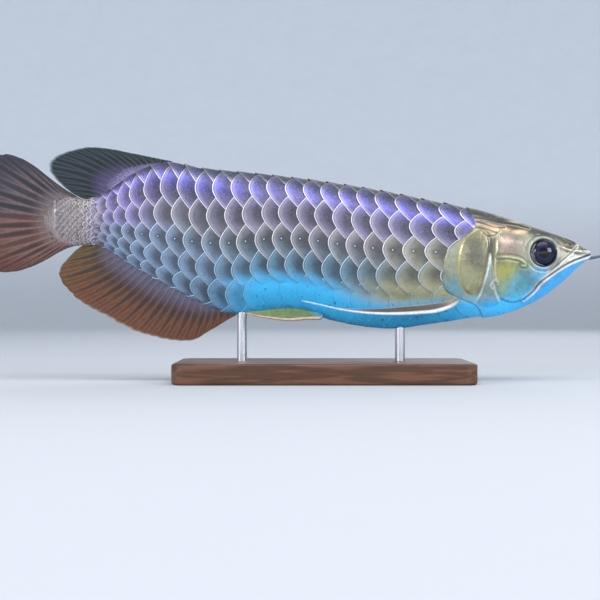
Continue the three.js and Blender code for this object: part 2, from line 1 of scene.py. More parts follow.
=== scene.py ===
import bpy
import numpy as np
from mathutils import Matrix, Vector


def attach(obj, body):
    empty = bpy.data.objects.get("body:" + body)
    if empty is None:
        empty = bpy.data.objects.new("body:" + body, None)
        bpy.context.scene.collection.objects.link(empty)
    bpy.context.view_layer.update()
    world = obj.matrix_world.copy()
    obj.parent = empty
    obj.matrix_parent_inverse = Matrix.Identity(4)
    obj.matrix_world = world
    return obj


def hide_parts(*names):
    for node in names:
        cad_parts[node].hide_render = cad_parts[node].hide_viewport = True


# An Asian arowana as a life-size museum model on a plain display stand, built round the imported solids
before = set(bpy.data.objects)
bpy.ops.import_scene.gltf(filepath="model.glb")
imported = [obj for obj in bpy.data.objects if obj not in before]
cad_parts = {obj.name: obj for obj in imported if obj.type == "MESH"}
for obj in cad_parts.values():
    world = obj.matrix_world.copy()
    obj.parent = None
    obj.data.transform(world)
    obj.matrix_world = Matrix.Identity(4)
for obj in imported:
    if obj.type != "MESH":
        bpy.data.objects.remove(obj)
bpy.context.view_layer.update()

bl_info = {
    "name": "Arowana Display Model",
    "version": (1, 0, 0),
    "blender": (4, 5, 0),
    "location": "View3D > Sidebar > Arowana",
    "description": "Builds a scaled, finned and painted arowana on its display stand",
    "category": "Object",
}

MM = 0.001  # sizes are in millimetres where nothing else is said, and a mesh is written in metres
SEED = 7

# Body outline along X: top of the back, bottom of the belly and half the width
CHIN_TIP_X = 181.2
TAIL_END_X = -143.6
HEAD_REAR_X = 86
SNOUT_LENGTH = 9.2
BACK_LINE = [
    [-140, 112], [-128.4, 109.5], [-122.4, 108.7], [-111, 113], [-93.6, 124.5], [-78, 130.4], [-70.8, 130.8],
    [-54, 127.7], [-8.4, 123.1], [40.2, 116.4], [84, 108], [119.4, 100.2], [153.6, 89.4], [168, 84.4],
    [174.6, 80.9], [178.8, 78], [CHIN_TIP_X, 75.4],
]
BELLY_LINE = [
    [-140, 79], [-128.4, 81.9], [-121.2, 82.4], [-114, 81], [-93.6, 68.7], [-59.4, 50.1], [-39, 41.4],
    [-31.2, 39.9], [-8.4, 42.4], [4.2, 42], [26.4, 36.1], [45, 32.6], [60.6, 31.4], [84, 34.2], [105.6, 37.3],
    [126, 39.7], [147, 47.7], [160.8, 57.3], [175.8, 70.8], [178.8, 72.9], [CHIN_TIP_X, 75.4],
]
HALF_WIDTH = [
    [-144, 1.05], [-140, 1.6], [-132, 3], [-122, 4.6], [-111, 6], [-93, 8.6], [-62, 12.8], [-30, 16.4],
    [0, 18.3], [30, 19], [62, 18.4], [90, 17.6], [103, 17.9], [120, 16.8], [138, 14], [152, 11.8],
    [164, 9], [173, 6], [178.8, 3], [CHIN_TIP_X, 0.4],
]
BACK_SHAPE = [[-140, 0.5], [-60, 0.46], [60, 0.42], [120, 0.38], [165, 0.4], [CHIN_TIP_X, 0.5]]
KEEL_SHAPE = [[-140, 0.5], [-60, 0.72], [40, 0.7], [100, 0.62], [150, 0.6], [CHIN_TIP_X, 0.5]]

# Side-view outlines and lines of the head, [x, z]
GILL_OPENING = [
    [104, 116], [105.6, 101.4], [109.4, 93.5], [100.3, 84], [93.6, 78.6], [90.6, 70.2], [89.8, 61.8],
    [91.8, 54.6], [98, 50.6], [112.1, 43.6], [116.4, 33.6], [118, 20],
]
MOUTH_LINE = [
    [186, 77.4], [178, 75.2], [171.6, 73.2], [163.2, 69.4], [154.2, 63.5], [149, 59.3], [144, 53.4],
    [139, 49.2],
]
JAW_CREASE = [[139, 49.2], [135, 47.6], [130, 47.4], [125.4, 49.2]]
MAXILLA_TOP = [[145.5, 56], [149.2, 60.6], [153.2, 64.6], [159, 69.8], [165, 74.8], [171.3, 80.6]]
OPERCLE = [
    [110.4, 91.2], [103.6, 86], [100.3, 78.6], [99.4, 71], [99.9, 63.5], [102, 56], [107.9, 51.7],
    [111.6, 53.6], [114.6, 61.8], [115.8, 71.4], [117.5, 82], [115.4, 88.4],
]
SPIKE = [
    [117.9, 75.8], [116.6, 68], [114.6, 60], [112.2, 52], [110.6, 46.6], [114, 44.6], [120, 44.2],
    [124.2, 46.4], [121.6, 54], [120.3, 61], [119.2, 68.5],
]
CHEEK_REAR = [[123.4, 86], [122.2, 84.4], [121.6, 78], [120.9, 70.2], [121.4, 62], [123, 57.6]]
CHEEK_SUTURE = [[122.6, 73.8], [129, 73.9], [137.4, 71.6], [139.4, 70], [139.2, 68.8], [136.8, 69]]
UPPER_LIP_FOLD = [[159.5, 80.6], [165.5, 78.4], [172, 77.4], [178.5, 76.8]]
SNOUT_CREASE = [[163.5, 85.4], [168.6, 82.6], [174.6, 79.2]]
WRINKLES = [
    [[101.5, 92.6], [106, 94.6], [113, 93.6], [120, 91.6], [127, 91.4]],
    [[104, 90.2], [110, 91.4], [117, 89.8], [122.4, 88.2]],
    [[109, 97], [116, 96.2], [124, 94.4], [133, 93.5], [142, 91.2]],
    [[113.6, 88], [117.2, 86.4], [121.2, 87.2], [123.6, 89.4]],
]
SPIKE_CURL = [[121.4, 60.4], [119.4, 59.2], [118.4, 56.6], [120, 55.6]]
HEAD_TOP = [
    [103, 95], [112, 92.5], [118, 90.2], [127.2, 89.6], [137, 88.6], [145, 87.4], [158, 85], [170, 80.6],
]
EYE = {"x": 150.3, "y": 8.1, "z": 76.5, "radius": 8.1, "depth": 5.2, "ring": 9.3}
NOSTRIL = {"x": 166.6, "z": 81.2, "radius": 1.25}
BEYOND_SNOUT = [[210, 20], [210, 116]]  # closes the gill opening's outline round the whole head

# Scales: twelve rows round the body, row 0 on the back's midline, 3 along the lateral line, 6 under the belly
ROWS = 12
ROW_ANGLE = [[0, 0], [1, 0.68], [2, 1.16], [3, 1.55], [4, 1.94], [5, 2.36], [6, np.pi]]
ROW_SWAY = [[-140, 0.34], [-90, 0.3], [-24, 0], [66, -0.13], [110, -0.15]]
SCALE_PITCH = [
    [-142, 3.6], [-128, 4.3], [-118, 5], [-108, 6.2], [-98, 7.6], [-88, 8.9], [-76, 10], [-62, 10.6],
    [40, 10.7], [66, 12.6], [100, 13.4],
]
FIRST_ROW_APEX_X = -56.5
ROW_LEAN = 0.18  # how much further forward each row starts than the one above, in scales
SCALE_REACH = 0.92  # how far a scale reaches to each side of its row's middle, in rows
SCALE_STATIONS = [0, 0.025, 0.06, 0.1, 0.16, 0.26, 0.4, 0.58, 0.78, 1.0, 1.28]  # from the free edge inwards
SMALL_SCALES_X = -126  # the large scales end here
SCALES_ROUND_TAIL = 22
BEHIND = 17  # scales in a row behind the first row's marked one, and ahead of it
AHEAD = 15
TAIL_TONGUE = [[-146, 3], [-142, 8], [-137, 12], [-131, 15], [-124, 24], [-118, 60]]

# Fins: root inside the body and outer edge, [x, z]
DORSAL_ROOT = [[-70, 124], [-90, 120], [-106, 110], [-114, 105]]
DORSAL_EDGE = [
    [-70.8, 132], [-82.8, 134.4], [-93.6, 136.6], [-105, 138.9], [-116.4, 140.4], [-123, 140.4],
    [-128.4, 139.3], [-134.4, 137.6], [-139.8, 135.2], [-143.4, 132.6], [-144.8, 129.3], [-144.3, 126],
    [-142.2, 123], [-138.6, 119.1], [-133.8, 114.9], [-129, 111.6], [-124.2, 109.4], [-116, 108.6],
]
ANAL_ROOT = [[-33, 44], [-59, 56], [-93, 75], [-108, 86], [-113, 90]]
ANAL_EDGE = [
    [-32.4, 39.3], [-34.8, 38.1], [-40.8, 34.5], [-49.2, 29.4], [-57.6, 24.7], [-63.6, 24], [-70.8, 24.5],
    [-78.6, 25.8], [-86.4, 27.6], [-93.6, 30], [-102.6, 34.5], [-112.2, 40], [-118.8, 43.2], [-124.8, 47],
    [-130.2, 51.3], [-135, 56.4], [-138, 61.2], [-138.8, 65.4], [-137.4, 69], [-134.4, 72.6],
    [-130.8, 76.5], [-126, 80.4], [-121, 82.6], [-117, 85],
]
CAUDAL_ROOT = [[-124, 108], [-127, 104], [-130, 96], [-127, 88], [-124, 83]]
CAUDAL_EDGE = [
    [-126, 109.6], [-136.8, 116.4], [-145.2, 122.7], [-151.2, 127.5], [-156.8, 131.4], [-162, 134.1],
    [-166.8, 135.6], [-171.6, 136.4], [-175.4, 135.9], [-182.4, 131.4], [-189, 124], [-194.4, 113],
    [-196.8, 100], [-195.6, 86.5], [-191, 76], [-184, 69.2], [-175.4, 65.4], [-168, 65.2], [-156.8, 67.8],
    [-145.2, 73.3], [-139.8, 76.5], [-133.8, 79.5], [-125, 82],
]
# How far small scales cover the rays at the foot of the dorsal and tail fin, [place across, share of a ray]
DORSAL_SHEATH = [[0, 0.75], [0.1, 0.6], [0.3, 0.35], [0.5, 0.26], [0.7, 0.2], [0.9, 0.08], [1, 0.02]]
TAIL_SHEATH = [[0, 0.1], [0.3, 0.2], [0.5, 0.27], [0.7, 0.2], [1, 0.1]]
# Paired fins: leading and trailing edge on the right side, [x, outwards, z]
PECTORAL_LEAD = [
    [100.5, 11, 48], [97, 17.5, 45.6], [88, 22.5, 42.2], [75, 28, 40.8], [60, 33, 40.4], [45, 37.5, 41],
    [30, 41.5, 43], [17, 44.5, 46], [6.9, 46.4, 48.2],
]
PECTORAL_TRAIL = [
    [97.5, 10.5, 49.2], [92, 13.5, 47], [80, 15.5, 45.4], [66, 18.5, 44.2], [52, 23.5, 43.1], [38, 30, 43],
    [25, 36.5, 44.2], [14, 42.5, 46.6], [6.5, 45.6, 48.2],
]
PELVIC_LEAD = [
    [19.6, 6, 39.2], [18.6, 10.5, 37.8], [9.6, 13, 37.4], [0, 15.5, 36.6], [-9, 18, 37.5], [-17, 20.5, 38.8],
    [-26.4, 23, 41],
]
PELVIC_TRAIL = [
    [16.6, 5.5, 40.4], [14, 7, 40.6], [6, 8.5, 42.6], [-2, 11, 43.2], [-10, 14.5, 42.8], [-18, 18.6, 41.8],
    [-26, 22.3, 41.2],
]
BARBEL_PATH = [[176.5, 1.4, 73.6], [181, 2.2, 73.9], [186, 3.2, 74.9], [191.5, 4.2, 76], [196.6, 5, 76.4]]

SIDES = ((-1, "right"), (1, "left"))
BASE_FACE_INSET = 6  # how far the innermost ring of the base's top and underside lies inside its outline

# Stage: a round floor that curves up into a wall, then lamps as place, target and size in metres and power in
# watts, and the camera with its place in metres
FLOOR_INNER_RING = 400
FLOOR_RADIUS = 1700
FLOOR_SWEEP = 1200
WALL_FOOT = 1500
WALL_TOP = 2600
MODEL_MIDDLE = (0.0, 0.0, 0.08)
LAMPS = {
    "lamp_above": ((0.1, -0.45, 1.1), MODEL_MIDDLE, (1.2, 0.7), 8),
    "lamp_left": ((-1.2, -0.95, 0.5), MODEL_MIDDLE, (0.6, 0.5), 13),
    "lamp_right": ((1.1, -1.0, 0.5), MODEL_MIDDLE, (0.6, 0.5), 10.5),
    "lamp_behind": ((0.5, 1.2, 0.8), MODEL_MIDDLE, (0.9, 0.7), 4.5),
    "lamp_low": ((0.1, -1.1, 0.14), (0.05, 0.0, 0.04), (1.3, 0.22), 1.6),
}
SKY_COLOUR = (0.86, 0.92, 1.0, 1.0)
SKY_STRENGTH = 0.8
CAMERA_PLACE = (0.006, -0.9, 0.0486)
CAMERA_LENS = 90
CAMERA_SENSOR = 36


def tint(red, green, blue):
    """A colour picked on a screen, 0 to 255, as the linear values that a shader mixes."""
    c = np.array([red, green, blue], float) / 255
    return np.where(c <= 0.04045, c / 12.92, ((c + 0.055) / 1.055) ** 2.4)


def curve(stations):
    """A smooth curve through [x, value] stations that never overshoots them, as a function of whole arrays.
    It is made of cubic pieces. The slope at a station is the harmonic mean of the slopes on its two sides,
    or nought at a peak."""
    x, v = np.array(stations, float).T
    rise = np.diff(v) / np.diff(x)
    before, after = rise[:-1], rise[1:]
    slope = np.zeros(len(x))
    same = before * after > 0
    slope[1:-1][same] = 2 * before[same] * after[same] / (before[same] + after[same])
    slope[0], slope[-1] = rise[0], rise[-1]

    def at(place):
        p = np.clip(place, x[0], x[-1])
        i = np.clip(np.searchsorted(x, p, side="right") - 1, 0, len(x) - 2)
        width = x[i + 1] - x[i]
        t = (p - x[i]) / width
        value = (1 + 2 * t) * (1 - t) ** 2 * v[i] + t * t * (3 - 2 * t) * v[i + 1]
        return value + width * (t * (1 - t) ** 2 * slope[i] - t * t * (1 - t) * slope[i + 1])

    return at


def flow(points, count):
    """Points on a smooth path through given points, spaced by the length along them: cubic pieces whose
    direction at a point is the slope of the path there."""
    p = np.array(points, float)
    s = np.concatenate([[0], np.cumsum(np.linalg.norm(np.diff(p, axis=0), axis=1))])
    lead = np.gradient(p, s, axis=0)
    at = np.linspace(0, s[-1], count)
    i = np.clip(np.searchsorted(s, at, side="right") - 1, 0, len(s) - 2)
    width = (s[i + 1] - s[i])[:, None]
    t = (at - s[i])[:, None] / width
    ends = (1 + 2 * t) * (1 - t) ** 2 * p[i] + t * t * (3 - 2 * t) * p[i + 1]
    return ends + width * (t * (1 - t) ** 2 * lead[i] - t * t * (1 - t) * lead[i + 1])


back_line = curve(BACK_LINE)
belly_line = curve(BELLY_LINE)
half_width = curve(HALF_WIDTH)
back_shape = curve(BACK_SHAPE)
keel_shape = curve(KEEL_SHAPE)
row_angle = curve(ROW_ANGLE)
row_sway = curve(ROW_SWAY)
sway_share = curve([[0, 0], [1, 1], [5, 1], [6, 0]])


def step(value, low, high):
    """0 below low, 1 above high, and a smooth rise between, 3t^2 - 2t^3."""
    t = np.clip((value - low) / (high - low), 0, 1)
    return t * t * (3 - 2 * t)


def blend(one, other, share):
    """Goes from one colour to the other by share."""
    share = np.asarray(share)[..., None]
    return one * (1 - share) + other * share


def bare_skin(x, angle):
    """The body's side: at each x the section goes round from the back, angle 0, to the belly, angle pi, and
    the right side is negative. Height falls with cos^2 of the half angle, and the width is sin^2b cos^2k of
    it, scaled to the half width at its widest."""
    x, angle = np.broadcast_arrays(np.asarray(x, float), np.asarray(angle, float))
    turn = (angle + np.pi) % (2 * np.pi) - np.pi
    half = np.abs(turn) / 2
    b, k = back_shape(x), keel_shape(x)
    widest = (b / (b + k)) ** b * (k / (b + k)) ** k
    bulge = np.sin(half) ** (2 * b) * np.maximum(np.cos(half), 0) ** (2 * k) / widest
    z = belly_line(x) + (back_line(x) - belly_line(x)) * np.cos(half) ** 2
    return np.stack([x, np.sign(turn) * half_width(x) * bulge, z], -1)


def skin(x, angle, lift=0.0):
    """The skin raised by lift along its outward direction, the cross product of its slopes."""
    nudge = 0.02
    around = bare_skin(x, angle + nudge) - bare_skin(x, angle - nudge)
    along = bare_skin(x + nudge, angle) - bare_skin(x - nudge, angle)
    out = np.cross(along, around)
    out /= np.maximum(np.linalg.norm(out, axis=-1, keepdims=True), 1e-9)
    return bare_skin(x, angle) + out * np.asarray(lift)[..., None]


def distance(x, z, line):
    """How far side-view points are from a line of straight pieces."""
    nearest = np.full(np.shape(x), np.inf)
    for a, b in zip(line[:-1], line[1:]):
        run = b - a
        t = np.clip(((x - a[0]) * run[0] + (z - a[1]) * run[1]) / max(run @ run, 1e-12), 0, 1)
        nearest = np.minimum(nearest, np.hypot(x - a[0] - t * run[0], z - a[1] - t * run[1]))
    return nearest


def depth(x, z, outline):
    """How deep side-view points lie inside an outline, negative outside. A point is inside where a level line
    from it crosses the outline an odd number of times."""
    crossings = np.zeros(np.shape(x), int)
    for a, b in zip(outline, np.roll(outline, -1, axis=0)):
        spans = (a[1] > z) != (b[1] > z)
        reach = a[0] + (z - a[1]) * (b[0] - a[0]) / (b[1] - a[1] if b[1] != a[1] else 1)
        crossings += spans & (x < reach)
    closed = np.vstack([outline, outline[:1]])
    return np.where(crossings % 2 == 1, 1, -1) * distance(x, z, closed)


def ring_of(points, count):
    """A closed smooth outline through given points."""
    return flow(points + points[:1], count)[:-1]


def gill_outline(count):
    """The outline round the whole head, whose rear is the gill opening."""
    return np.vstack([flow(GILL_OPENING, count), BEYOND_SNOUT])


def height_share(x, z):
    """How far up the body a place is, 0 at the belly line and 1 at the back line."""
    return (z - belly_line(x)) / np.maximum(back_line(x) - belly_line(x), 1)


def grid_faces(shape, wrap=False):
    """Quads of a grid of points, rows by columns, with the last column joined to the first where it wraps."""
    rows, columns = shape
    i, j = np.meshgrid(np.arange(rows - 1), np.arange(columns if wrap else columns - 1), indexing="ij")
    k = (j + 1) % columns
    corners = [i * columns + j, i * columns + k, (i + 1) * columns + k, (i + 1) * columns + j]
    return np.stack(corners, -1).reshape(-1, 4)


def round_angles(count, offset=0.0):
    """Angles spaced evenly round a circle, moved on by offset of a space."""
    return (np.arange(count) + offset) / count * 2 * np.pi


def with_ends(values, ends):
    """Places or colours of all rings' points, then those of the end points."""
    return np.vstack([values.reshape(-1, 3), ends])


def closed_rings(rings, around):
    """Faces of a tube of rings whose ends are closed: quads between the rings, and fans from the first and
    the last ring to two more points, which come after the rings in that order."""
    j = np.arange(around)
    k = (j + 1) % around
    pole, last = rings * around, (rings - 1) * around
    fans = np.vstack([
        np.stack([0 * j + pole, k, j], -1),
        np.stack([0 * j + pole + 1, last + j, last + k], -1),
    ])
    return grid_faces((rings, around), wrap=True).tolist() + fans.tolist()


def turned(faces):
    """The same faces, facing the other way."""
    return [face[::-1] for face in faces]


def plate_faces(rows, columns):
    """Faces of a closed plate: an upper sheet and a lower sheet of rows by columns points, and the wall round
    their edge. The upper sheet's first point is 0 and the lower one's is rows times columns."""
    sheet = rows * columns
    upper = grid_faces((rows, columns))
    ids = np.arange(sheet).reshape(rows, columns)
    border = np.concatenate([ids[0, :], ids[1:, -1], ids[-1, -2::-1], ids[-2:0:-1, 0]])
    after = np.roll(border, -1)
    wall = np.stack([border, border + sheet, after + sheet, after], -1)
    return np.vstack([upper, upper[:, ::-1] + sheet, wall])


def many_plates(count, rows, columns):
    """The faces of many closed plates, one after the other."""
    shift = np.arange(count) * 2 * rows * columns
    return (plate_faces(rows, columns)[None] + shift[:, None, None]).reshape(-1, 4)


def both_sheets(upper, lower=None):
    """Points or values of many plates, each one's upper sheet and then its lower one, which has the same
    values where only the upper ones are given."""
    return np.stack([upper, upper if lower is None else lower], axis=1)


def new_piece(name, points, faces, material, replaced=(), marks=None, maps=None):
    """A mesh object from arrays: points in millimetres, faces, marks of one value or one colour for each
    point, and flat maps given for each point."""
    mesh = bpy.data.meshes.new(name)
    corners = faces if isinstance(faces, list) else faces.tolist()
    mesh.from_pydata((points.reshape(-1, 3) * MM).tolist(), [], corners)
    count = len(mesh.vertices)
    for mark, values in (marks or {}).items():
        if values.size == 3 * count:
            rgba = np.ones((count, 4))
            rgba[:, :3] = np.clip(values.reshape(-1, 3), 0, 1)
            mesh.attributes.new(mark, "FLOAT_COLOR", "POINT").data.foreach_set("color", rgba.ravel())
        else:
            mesh.attributes.new(mark, "FLOAT", "POINT").data.foreach_set("value", values.ravel())
    at_corners = np.zeros(len(mesh.loops), int)
    mesh.loops.foreach_get("vertex_index", at_corners)
    for layer, flat in (maps or {}).items():
        mesh.uv_layers.new(name=layer).data.foreach_set("uv", flat.reshape(-1, 2)[at_corners].ravel())
    mesh.polygons.foreach_set("use_smooth", np.ones(len(mesh.polygons), bool))
    mesh.materials.append(material)
    piece = bpy.data.objects.new(name, mesh)
    bpy.context.scene.collection.objects.link(piece)
    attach(piece, "root")
    if replaced:
        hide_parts(*replaced)
    return piece


class Shader:
    """A material's node tree, with one call for each node."""

    def __init__(self, name, **finish):
        self.material = bpy.data.materials.new(name)
        self.material.use_nodes = True
        self.tree = self.material.node_tree
        self.surface = self.tree.nodes["Principled BSDF"]
        for socket, value in finish.items():
            self.surface.inputs[socket.replace("_", " ")].default_value = value

    def feed(self, socket, value):
        """Links a socket into another one, or sets the number or colour there."""
        if isinstance(value, bpy.types.NodeSocket):
            self.tree.links.new(value, socket)
        else:
            socket.default_value = value

    def node(self, kind, settings=None, **inputs):
        """A node with its settings and inputs, which go by name or as i0, i1 and so on by number."""
        made = self.tree.nodes.new(kind)
        for key, value in (settings or {}).items():
            setattr(made, key, value)
        for socket, value in inputs.items():
            number = socket[1:]
            self.feed(made.inputs[int(number) if number.isdigit() else socket.replace("_", " ")], value)
        return made

    def attribute(self, name, kind="Color"):
        """One of the mesh's marks, as a colour or as a number with Fac."""
        return self.node("ShaderNodeAttribute", {"attribute_name": name}).outputs[kind]

    def place(self):
        """The place on the object, in metres."""
        return self.node("ShaderNodeTexCoord").outputs["Object"]

    def noise(self, scale, detail=3.0, roughness=0.55, vector=None):
        """Fractal noise, about 0.5 on average."""
        made = self.node("ShaderNodeTexNoise", Scale=scale, Detail=detail, Roughness=roughness)
        self.feed(made.inputs["Vector"], vector if vector is not None else self.place())
        return made.outputs["Fac"]

    def sums(self, operation, a, b=0.0, c=0.0):
        """Arithmetic on numbers."""
        return self.node("ShaderNodeMath", {"operation": operation}, i0=a, i1=b, i2=c).outputs[0]

    def ramp(self, value, low, high, start=0.0, end=1.0):
        """Goes smoothly from start to end as the value goes from low to high."""
        made = self.node("ShaderNodeMapRange", {"interpolation_type": "SMOOTHSTEP"}, Value=value)
        for socket, number in (("From Min", low), ("From Max", high), ("To Min", start), ("To Max", end)):
            made.inputs[socket].default_value = number
        return made.outputs["Result"]

    def mix(self, share, a, b):
        """Goes from one colour to the other by share."""
        made = self.node("ShaderNodeMix", {"data_type": "RGBA"}, i0=share)
        self.feed(made.inputs[6], a)
        self.feed(made.inputs[7], b)
        return made.outputs[2]

    def bump(self, height, distance, strength=1.0):
        """Relief from a height, raised by distance in millimetres."""
        made = self.node("ShaderNodeBump", Height=height, Distance=distance * MM, Strength=strength)
        return made.outputs["Normal"]

    def finish(self, **sockets):
        """Feeds the surface's sockets and gives the material."""
        for socket, value in sockets.items():
            self.feed(self.surface.inputs[socket.replace("_", " ")], value)
        return self.material


def solid(colour, strength=1.0):
    """A colour for a socket, made brighter or darker by strength."""
    return (*(np.array(colour) * strength), 1.0)


def skin_finish():
    """Wet bare skin: the painted colour, mottled at two sizes, with pores and a clear coat. The gleam mark
    makes gold patches and bony rims more metallic. Where the freckles mark is high, on the belly and the top
    of the head, there are small dark specks, and the mottling and the coat fade."""
    s = Shader("arowana_wet_skin", Coat_Roughness=0.1, Specular_IOR_Level=0.5)
    blotch = s.noise(95.0, 5.0, 0.62)
    mottle = s.noise(330.0, 5.0, 0.65)
    freckled = s.attribute("freckles", "Fac")
    calm = s.ramp(freckled, 0.0, 0.7, 1.0, 0.2)
    blotched = s.sums("MULTIPLY", s.ramp(blotch, 0.42, 0.72, 0.0, 0.42), calm)
    mottled = s.sums("MULTIPLY", s.ramp(mottle, 0.45, 0.8, 0.0, 0.4), calm)
    body = s.mix(blotched, s.attribute("paint"), solid(tint(52, 50, 44)))
    body = s.mix(mottled, body, solid(tint(24, 28, 30)))
    body = s.mix(s.ramp(mottle, 0.2, 0.42, 0.22, 0.0), body, solid(tint(236, 230, 200)))
    speck = s.ramp(s.noise(620.0, 2.0), 0.64, 0.7)
    body = s.mix(s.sums("MULTIPLY", speck, freckled), body, solid(tint(22, 48, 76)))
    height = s.sums("ADD", s.noise(1500.0, 2.0), s.sums("MULTIPLY", mottle, 2.0))
    return s.finish(
        Base_Color=body,
        Metallic=s.sums("MULTIPLY", s.attribute("gleam", "Fac"), 0.6),
        Coat_Weight=s.ramp(freckled, 0.0, 0.7, 0.45, 0.08),
        Roughness=s.sums("MULTIPLY_ADD", freckled, 0.3, s.ramp(mottle, 0.3, 0.7, 0.24, 0.42)),
        Normal=s.bump(height, 0.16, 0.6),
    )


def scale_finish():
    """Pearly scales: the painted colour darkens towards a scale's root, growth rings follow its free edge,
    the rim is a thin pale line, and a lateral-line scale has a pore. The fade mark hides the dark root and
    the rim, and the freckles mark dulls the back. The map holds the place across and from the edge."""
    s = Shader("arowana_pearly_scales", Coat_Roughness=0.12, Metallic=0.2)
    flat = s.node("ShaderNodeUVMap", {"uv_map": "ScaleMap"}).outputs["UV"]
    parts = s.node("ShaderNodeSeparateXYZ", Vector=flat)
    across, inward = parts.outputs["X"], parts.outputs["Y"]
    fade = s.attribute("fade", "Fac")
    freckled = s.attribute("freckles", "Fac")
    rim = s.attribute("rim_colour")
    grain = s.noise(520.0, 5.0, 0.65)
    cloud = s.noise(120.0, 3.0, 0.6)
    shown = s.sums("SUBTRACT", 1.0, fade)
    plain = s.sums("SUBTRACT", 1.0, s.sums("MULTIPLY", fade, 0.85))
    middle = s.ramp(s.sums("ABSOLUTE", across), 0.1, 0.8, 1.0, 0.3)
    core = s.sums("MULTIPLY", s.sums("MULTIPLY", s.ramp(inward, 0.22, 0.8), middle), shown)
    clouded = s.sums("MULTIPLY", s.ramp(cloud, 0.38, 0.7, 0.0, 0.34), plain)
    grained = s.sums("MULTIPLY", s.ramp(grain, 0.4, 0.85, 0.0, 0.4), plain)
    body = s.mix(clouded, s.attribute("paint"), solid(tint(58, 54, 54)))
    body = s.mix(s.sums("MULTIPLY", core, 0.7), body, solid(tint(34, 36, 42)))
    body = s.mix(grained, body, solid(tint(30, 32, 38)))
    tick = s.ramp(s.noise(480.0, 1.0), 0.7, 0.74, 0.0, 0.7)
    body = s.mix(s.sums("MULTIPLY", tick, fade), body, solid(tint(24, 70, 110)))
    sparkle = s.ramp(s.noise(1300.0, 4.0, 0.7), 0.54, 0.72, 0.0, 0.32)
    body = s.mix(s.sums("MULTIPLY", sparkle, s.attribute("shine", "Fac")), body, solid(tint(200, 200, 255)))
    speck = s.ramp(s.noise(1100.0, 3.0, 0.7), 0.52, 0.6)
    body = s.mix(s.sums("MULTIPLY", speck, freckled), body, solid(tint(26, 30, 52)))
    glow = s.sums("MULTIPLY", s.ramp(inward, 0.06, 0.32, 0.26, 0.0), shown)
    body = s.mix(glow, body, rim)
    # Painted shade: a thin dark line just inside each scale's pale rim
    rim_shadow_line = s.sums("MULTIPLY", s.ramp(inward, 0.05, 0.07), s.ramp(inward, 0.08, 0.14, 0.45, 0.0))
    body = s.mix(s.sums("MULTIPLY", rim_shadow_line, shown), body, solid(tint(40, 40, 60)))
    body = s.mix(s.sums("MULTIPLY", s.ramp(inward, 0.034, 0.06, 0.95, 0.0), shown), body, rim)
    beside = s.sums("MULTIPLY", across, 1.45)
    above = s.sums("SUBTRACT", inward, 0.52)
    spot = s.sums("SQRT", s.sums("ADD", s.sums("MULTIPLY", beside, beside), s.sums("MULTIPLY", above, above)))
    pore = s.attribute("pore", "Fac")
    halo = s.sums("MULTIPLY", s.ramp(spot, 0.05, 0.24, 0.5, 0.0), pore)
    body = s.mix(halo, body, solid(tint(16, 26, 44)))
    dot = s.sums("MULTIPLY", s.ramp(spot, 0.022, 0.05, 0.75, 0.0), pore)
    body = s.mix(dot, body, solid(tint(222, 230, 240)))
    rings = s.sums("SINE", s.sums("MULTIPLY", inward, 120.0))
    rays = s.sums("SINE", s.sums("MULTIPLY", across, 70.0))
    height = s.sums("ADD", s.sums("MULTIPLY", rings, 0.25), s.sums("MULTIPLY", rays, 0.12))
    return s.finish(
        Base_Color=body,
        Coat_Weight=s.ramp(freckled, 0.0, 0.9, 0.35, 0.03),
        Roughness=s.sums("MULTIPLY_ADD", freckled, 0.28, s.ramp(grain, 0.3, 0.7, 0.24, 0.4)),
        Normal=s.bump(s.sums("ADD", height, grain), 0.07, 0.6),
    )


def fin_finish():
    """Fin membrane: the painted colour with a dark fine grain, and cross bars on the rays, as segments have."""
    s = Shader("arowana_fin_membrane", Coat_Weight=0.12, Coat_Roughness=0.2, Specular_IOR_Level=0.35)
    flat = s.node("ShaderNodeUVMap", {"uv_map": "FinMap"}).outputs["UV"]
    parts = s.node("ShaderNodeSeparateXYZ", Vector=flat)
    bars = s.sums("SINE", s.sums("MULTIPLY", parts.outputs["Y"], 260.0))
    ray = s.attribute("ray", "Fac")
    grain = s.noise(500.0, 4.0, 0.6)
    body = s.mix(s.ramp(grain, 0.35, 0.75, 0.0, 0.3), s.attribute("paint"), solid(tint(20, 20, 24)))
    barred = s.sums("MULTIPLY", s.ramp(bars, 0.2, 0.9, 0.0, 0.25), ray)
    body = s.mix(barred, body, solid(tint(22, 22, 26)))
    height = s.sums("ADD", grain, s.sums("MULTIPLY", s.sums("MULTIPLY", bars, ray), 0.5))
    rough = s.ramp(grain, 0.3, 0.7, 0.35, 0.5)
    return s.finish(Base_Color=body, Roughness=rough, Normal=s.bump(height, 0.1, 0.6))


def eye_finish():
    """A glossy eye: the painted pupil and iris under a clear coat, with faint streaks in the iris."""
    s = Shader(
        "arowana_glossy_eye", Coat_Weight=0.35, Coat_Roughness=0.03, Roughness=0.2, Specular_IOR_Level=0.2)
    streaks = s.noise(1800.0, 3.0)
    body = s.mix(s.ramp(streaks, 0.4, 0.7, 0.0, 0.3), s.attribute("paint"), solid(tint(8, 10, 26)))
    return s.finish(Base_Color=body)


